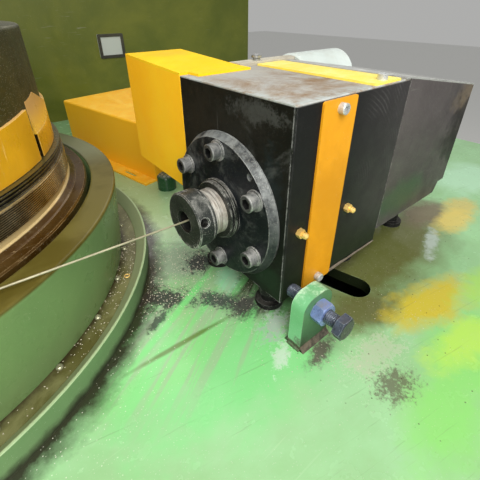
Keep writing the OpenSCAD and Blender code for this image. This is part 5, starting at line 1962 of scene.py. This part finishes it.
@dataclass
class Crumbs:
    """Crumbs of drawing soap and scale that lie on the deck and in the trough.

    Args:
        painter: Lays on the materials.
        spills: Areas on the deck.
        corners: Corners of a crumb.
        corner_turn: Angle from one corner to the next.
        trough_count: Number of crumbs in the trough.
        trough_z: Height of the trough's floor.
        trough_size: Largest crumb in the trough.
        near_r: Smallest radius at which they lie.
        far_r: Largest radius at which they lie.
        rng: Draws the places and sizes.
    """

    painter: Painter
    spills: tuple[Spill, ...] = (
        Spill((0.415, -0.225), (0.09, 0.08), DECK_TOP, 420, 0.0013),
        Spill((0.375, -0.275), (0.09, 0.05), DECK_TOP, 420, 0.0014),
        Spill((0.430, -0.345), (0.07, 0.05), DECK_TOP, 160, 0.0012),
        Spill((0.430, -0.440), (0.05, 0.05), DECK_TOP, 120, 0.0010),
        Spill((0.470, -0.510), (0.06, 0.04), DECK_TOP, 110, 0.0010),
        Spill((0.560, -0.520), (0.14, 0.08), DECK_TOP, 90, 0.0008),
    )
    corners: int = 5
    corner_turn: float = 1.2566
    trough_count: int = 300
    trough_z: float = 0.870
    trough_size: float = 0.0013
    near_r: float = 0.374
    far_r: float = 0.396
    rng: random.Random = field(default_factory=lambda: random.Random(41))

    def crumb(self, x: float, y: float, z: float, size: float) -> Form:
        """Makes one angular crumb that rests on a surface.

        Args:
            x: Place along X.
            y: Place along Y.
            z: Height of the surface.
            size: Its size.

        Returns:
            Points and faces.
        """
        turn = self.rng.uniform(0, math.pi)
        flat = self.rng.uniform(0.3, 0.8)
        n = self.corners
        verts = []
        for k in range(n):
            r = size * self.rng.uniform(0.6, 1.0)
            a = turn + k * self.corner_turn
            verts.append(Vector((x + r * math.cos(a), y + r * math.sin(a), z + 0.1 * size * flat)))
        verts += [Vector((x, y, z + size * flat)), Vector((x, y, z))]
        faces = [(k, (k + 1) % n, n) for k in range(n)] + [((k + 1) % n, k, n + 1) for k in range(n)]
        return verts, faces

    def build(self) -> None:
        """Strews the crumbs."""
        rng = self.rng
        trough_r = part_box("trough_lip")[1][0]
        parts = []
        for spill in self.spills:
            for _ in range(spill.count):
                x = spill.centre[0] + rng.gauss(0, 0.5) * spill.reach[0]
                y = spill.centre[1] + rng.gauss(0, 0.5) * spill.reach[1]
                if math.hypot(x, y) < trough_r + 0.002:
                    continue
                parts.append(self.crumb(x, y, spill.z, spill.size * rng.uniform(0.3, 1.0)))
        for _ in range(self.trough_count):
            angle = math.radians(rng.gauss(-34, 13) if rng.random() < 0.7 else rng.uniform(-75, 0))
            r = rng.uniform(self.near_r, self.far_r)
            size = self.trough_size * rng.uniform(0.3, 1.0)
            parts.append(self.crumb(r * math.cos(angle), r * math.sin(angle), self.trough_z, size))
        material = self.painter.material(CRUMBS, "crumbs")
        Mesher.piece("soap_crumbs", merged(parts), Body.MACHINE, "green_deck", material, (), 20)


@dataclass
class Studio:
    """Floor, lamps and camera.

    Args:
        floor_half: Half side of the floor.
        surround: Strength of the surrounding light.
        camera_at: Where the camera stands.
        heading: Direction it looks in, in degrees from X.
        dip: How far it looks down, in degrees.
        roll: Its turn about the line of sight, in degrees.
        sensor: Width of its sensor in millimetres.
        photo_px: Width of the photograph in pixels.
        focal_px: Focal length in the photograph's pixels.
        shift_px: Upward shift of the picture in the photograph's pixels.
    """

    floor_half: float = 14.0
    surround: float = 0.42
    camera_at: Point = (0.1973, -0.6402, 1.2191)
    heading: float = 50.44
    dip: float = 31.35
    roll: float = -0.15
    sensor: float = 36.0
    photo_px: float = 480.0
    focal_px: float = 345.0
    shift_px: float = -26.5

    def floor(self) -> None:
        """Lays a plain pale floor."""
        mesh = bpy.data.meshes.new("studio_floor")
        half = self.floor_half
        mesh.from_pydata([(-half, -half, 0), (half, -half, 0), (half, half, 0), (-half, half, 0)], [],
                         [(0, 1, 2, 3)])
        mat = bpy.data.materials.new("studio_floor")
        mat.use_nodes = True
        shade = mat.node_tree.nodes["Principled BSDF"]
        shade.inputs["Base Color"].default_value = (0.78, 0.78, 0.76, 1)
        shade.inputs["Roughness"].default_value = 0.9
        mesh.materials.append(mat)
        obj = bpy.data.objects.new("studio_floor", mesh)
        bpy.context.scene.collection.objects.link(obj)
        obj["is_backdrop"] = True

    def lamp(self, name: str, place: Point, aim: Point, size: float, power: float,
             colour: Colour = (1, 1, 1)) -> None:
        """Hangs a soft square lamp.

        Args:
            name: Name of the lamp.
            place: Where it hangs.
            aim: What it points at.
            size: Side of the square.
            power: Power in watts.
            colour: Colour of its light.
        """
        data = bpy.data.lights.new(name, "AREA")
        data.size = size
        data.energy = power
        data.color = colour
        obj = bpy.data.objects.new(name, data)
        obj.location = place
        obj.rotation_euler = (Vector(aim) - Vector(place)).to_track_quat("-Z", "Y").to_euler()
        bpy.context.scene.collection.objects.link(obj)

    def world(self) -> None:
        """Sets an even grey surrounding light with a pale backdrop."""
        world = bpy.data.worlds.new("studio")
        world.use_nodes = True
        back = world.node_tree.nodes["Background"]
        back.inputs["Color"].default_value = (1.0, 1.0, 0.98, 1)
        back.inputs["Strength"].default_value = self.surround
        bpy.context.scene.world = world

    def camera(self) -> None:
        """Places the camera at the photograph's viewing angle."""
        heading = math.radians(self.heading)
        dip = math.radians(self.dip)
        roll = math.radians(self.roll)
        ahead = Vector((math.cos(heading) * math.cos(dip), math.sin(heading) * math.cos(dip), -math.sin(dip)))
        right = ahead.cross(Vector((0, 0, 1))).normalized()
        up = right.cross(ahead)
        turned_right = math.cos(roll) * right + math.sin(roll) * up
        turned_up = -math.sin(roll) * right + math.cos(roll) * up
        data = bpy.data.cameras.new("photo_camera")
        data.sensor_width = self.sensor
        data.lens = self.sensor * self.focal_px / self.photo_px
        data.shift_y = self.shift_px / self.photo_px
        data.clip_start = 0.02
        data.clip_end = 60.0
        obj = bpy.data.objects.new("photo_camera", data)
        turn = Matrix((turned_right, turned_up, -ahead)).transposed()
        obj.matrix_world = Matrix.Translation(Vector(self.camera_at)) @ turn.to_4x4()
        bpy.context.scene.collection.objects.link(obj)
        bpy.context.scene.camera = obj

    def build(self) -> None:
        """Sets up floor, lamps, world and camera."""
        self.floor()
        self.world()
        self.lamp("key", (-0.50, -1.75, 1.95), (0.45, -0.1, 0.9), 1.3, 32.0, (1.0, 0.985, 0.95))
        self.lamp("fill", (0.10, -0.80, 1.80), (0.45, 0.25, 0.95), 0.6, 8.0, (1.0, 0.98, 0.94))
        self.lamp("rim", (1.7, 1.6, 3.2), (0.5, -0.2, 0.9), 1.8, 24.0, (1.0, 0.97, 0.90))
        self.lamp("side", (1.6, -2.4, 2.0), (0.6, -0.4, 0.9), 1.4, 8.0)
        self.camera()
        bpy.context.scene.view_settings.view_transform = "Standard"
        LOG.info("studio ready")


def plain(bounds: Sequence[Sequence[float]]) -> list[list[float]]:
    """Gives a box as plain lists.

    Args:
        bounds: Lowest and highest corner.

    Returns:
        The same numbers in lists.
    """
    return [[float(v) for v in corner] for corner in bounds]


def main() -> None:
    """Builds every sub-assembly in order and works out the scene's bounds before and after."""
    logging.basicConfig(level=logging.INFO, format="%(name)s %(message)s")
    solids = plain(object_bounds())
    painter = Painter()
    Studio().build()
    for kind in (Cabinet, Capstan, DieBox, DieHolder, SoapBox, Guards, Jack, WireLine, Crumbs):
        kind(painter).build()
        LOG.info("%s done", kind.__name__)
    {"cad": solids, "visual": plain(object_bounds())}


if __name__ == "__main__":
    main()
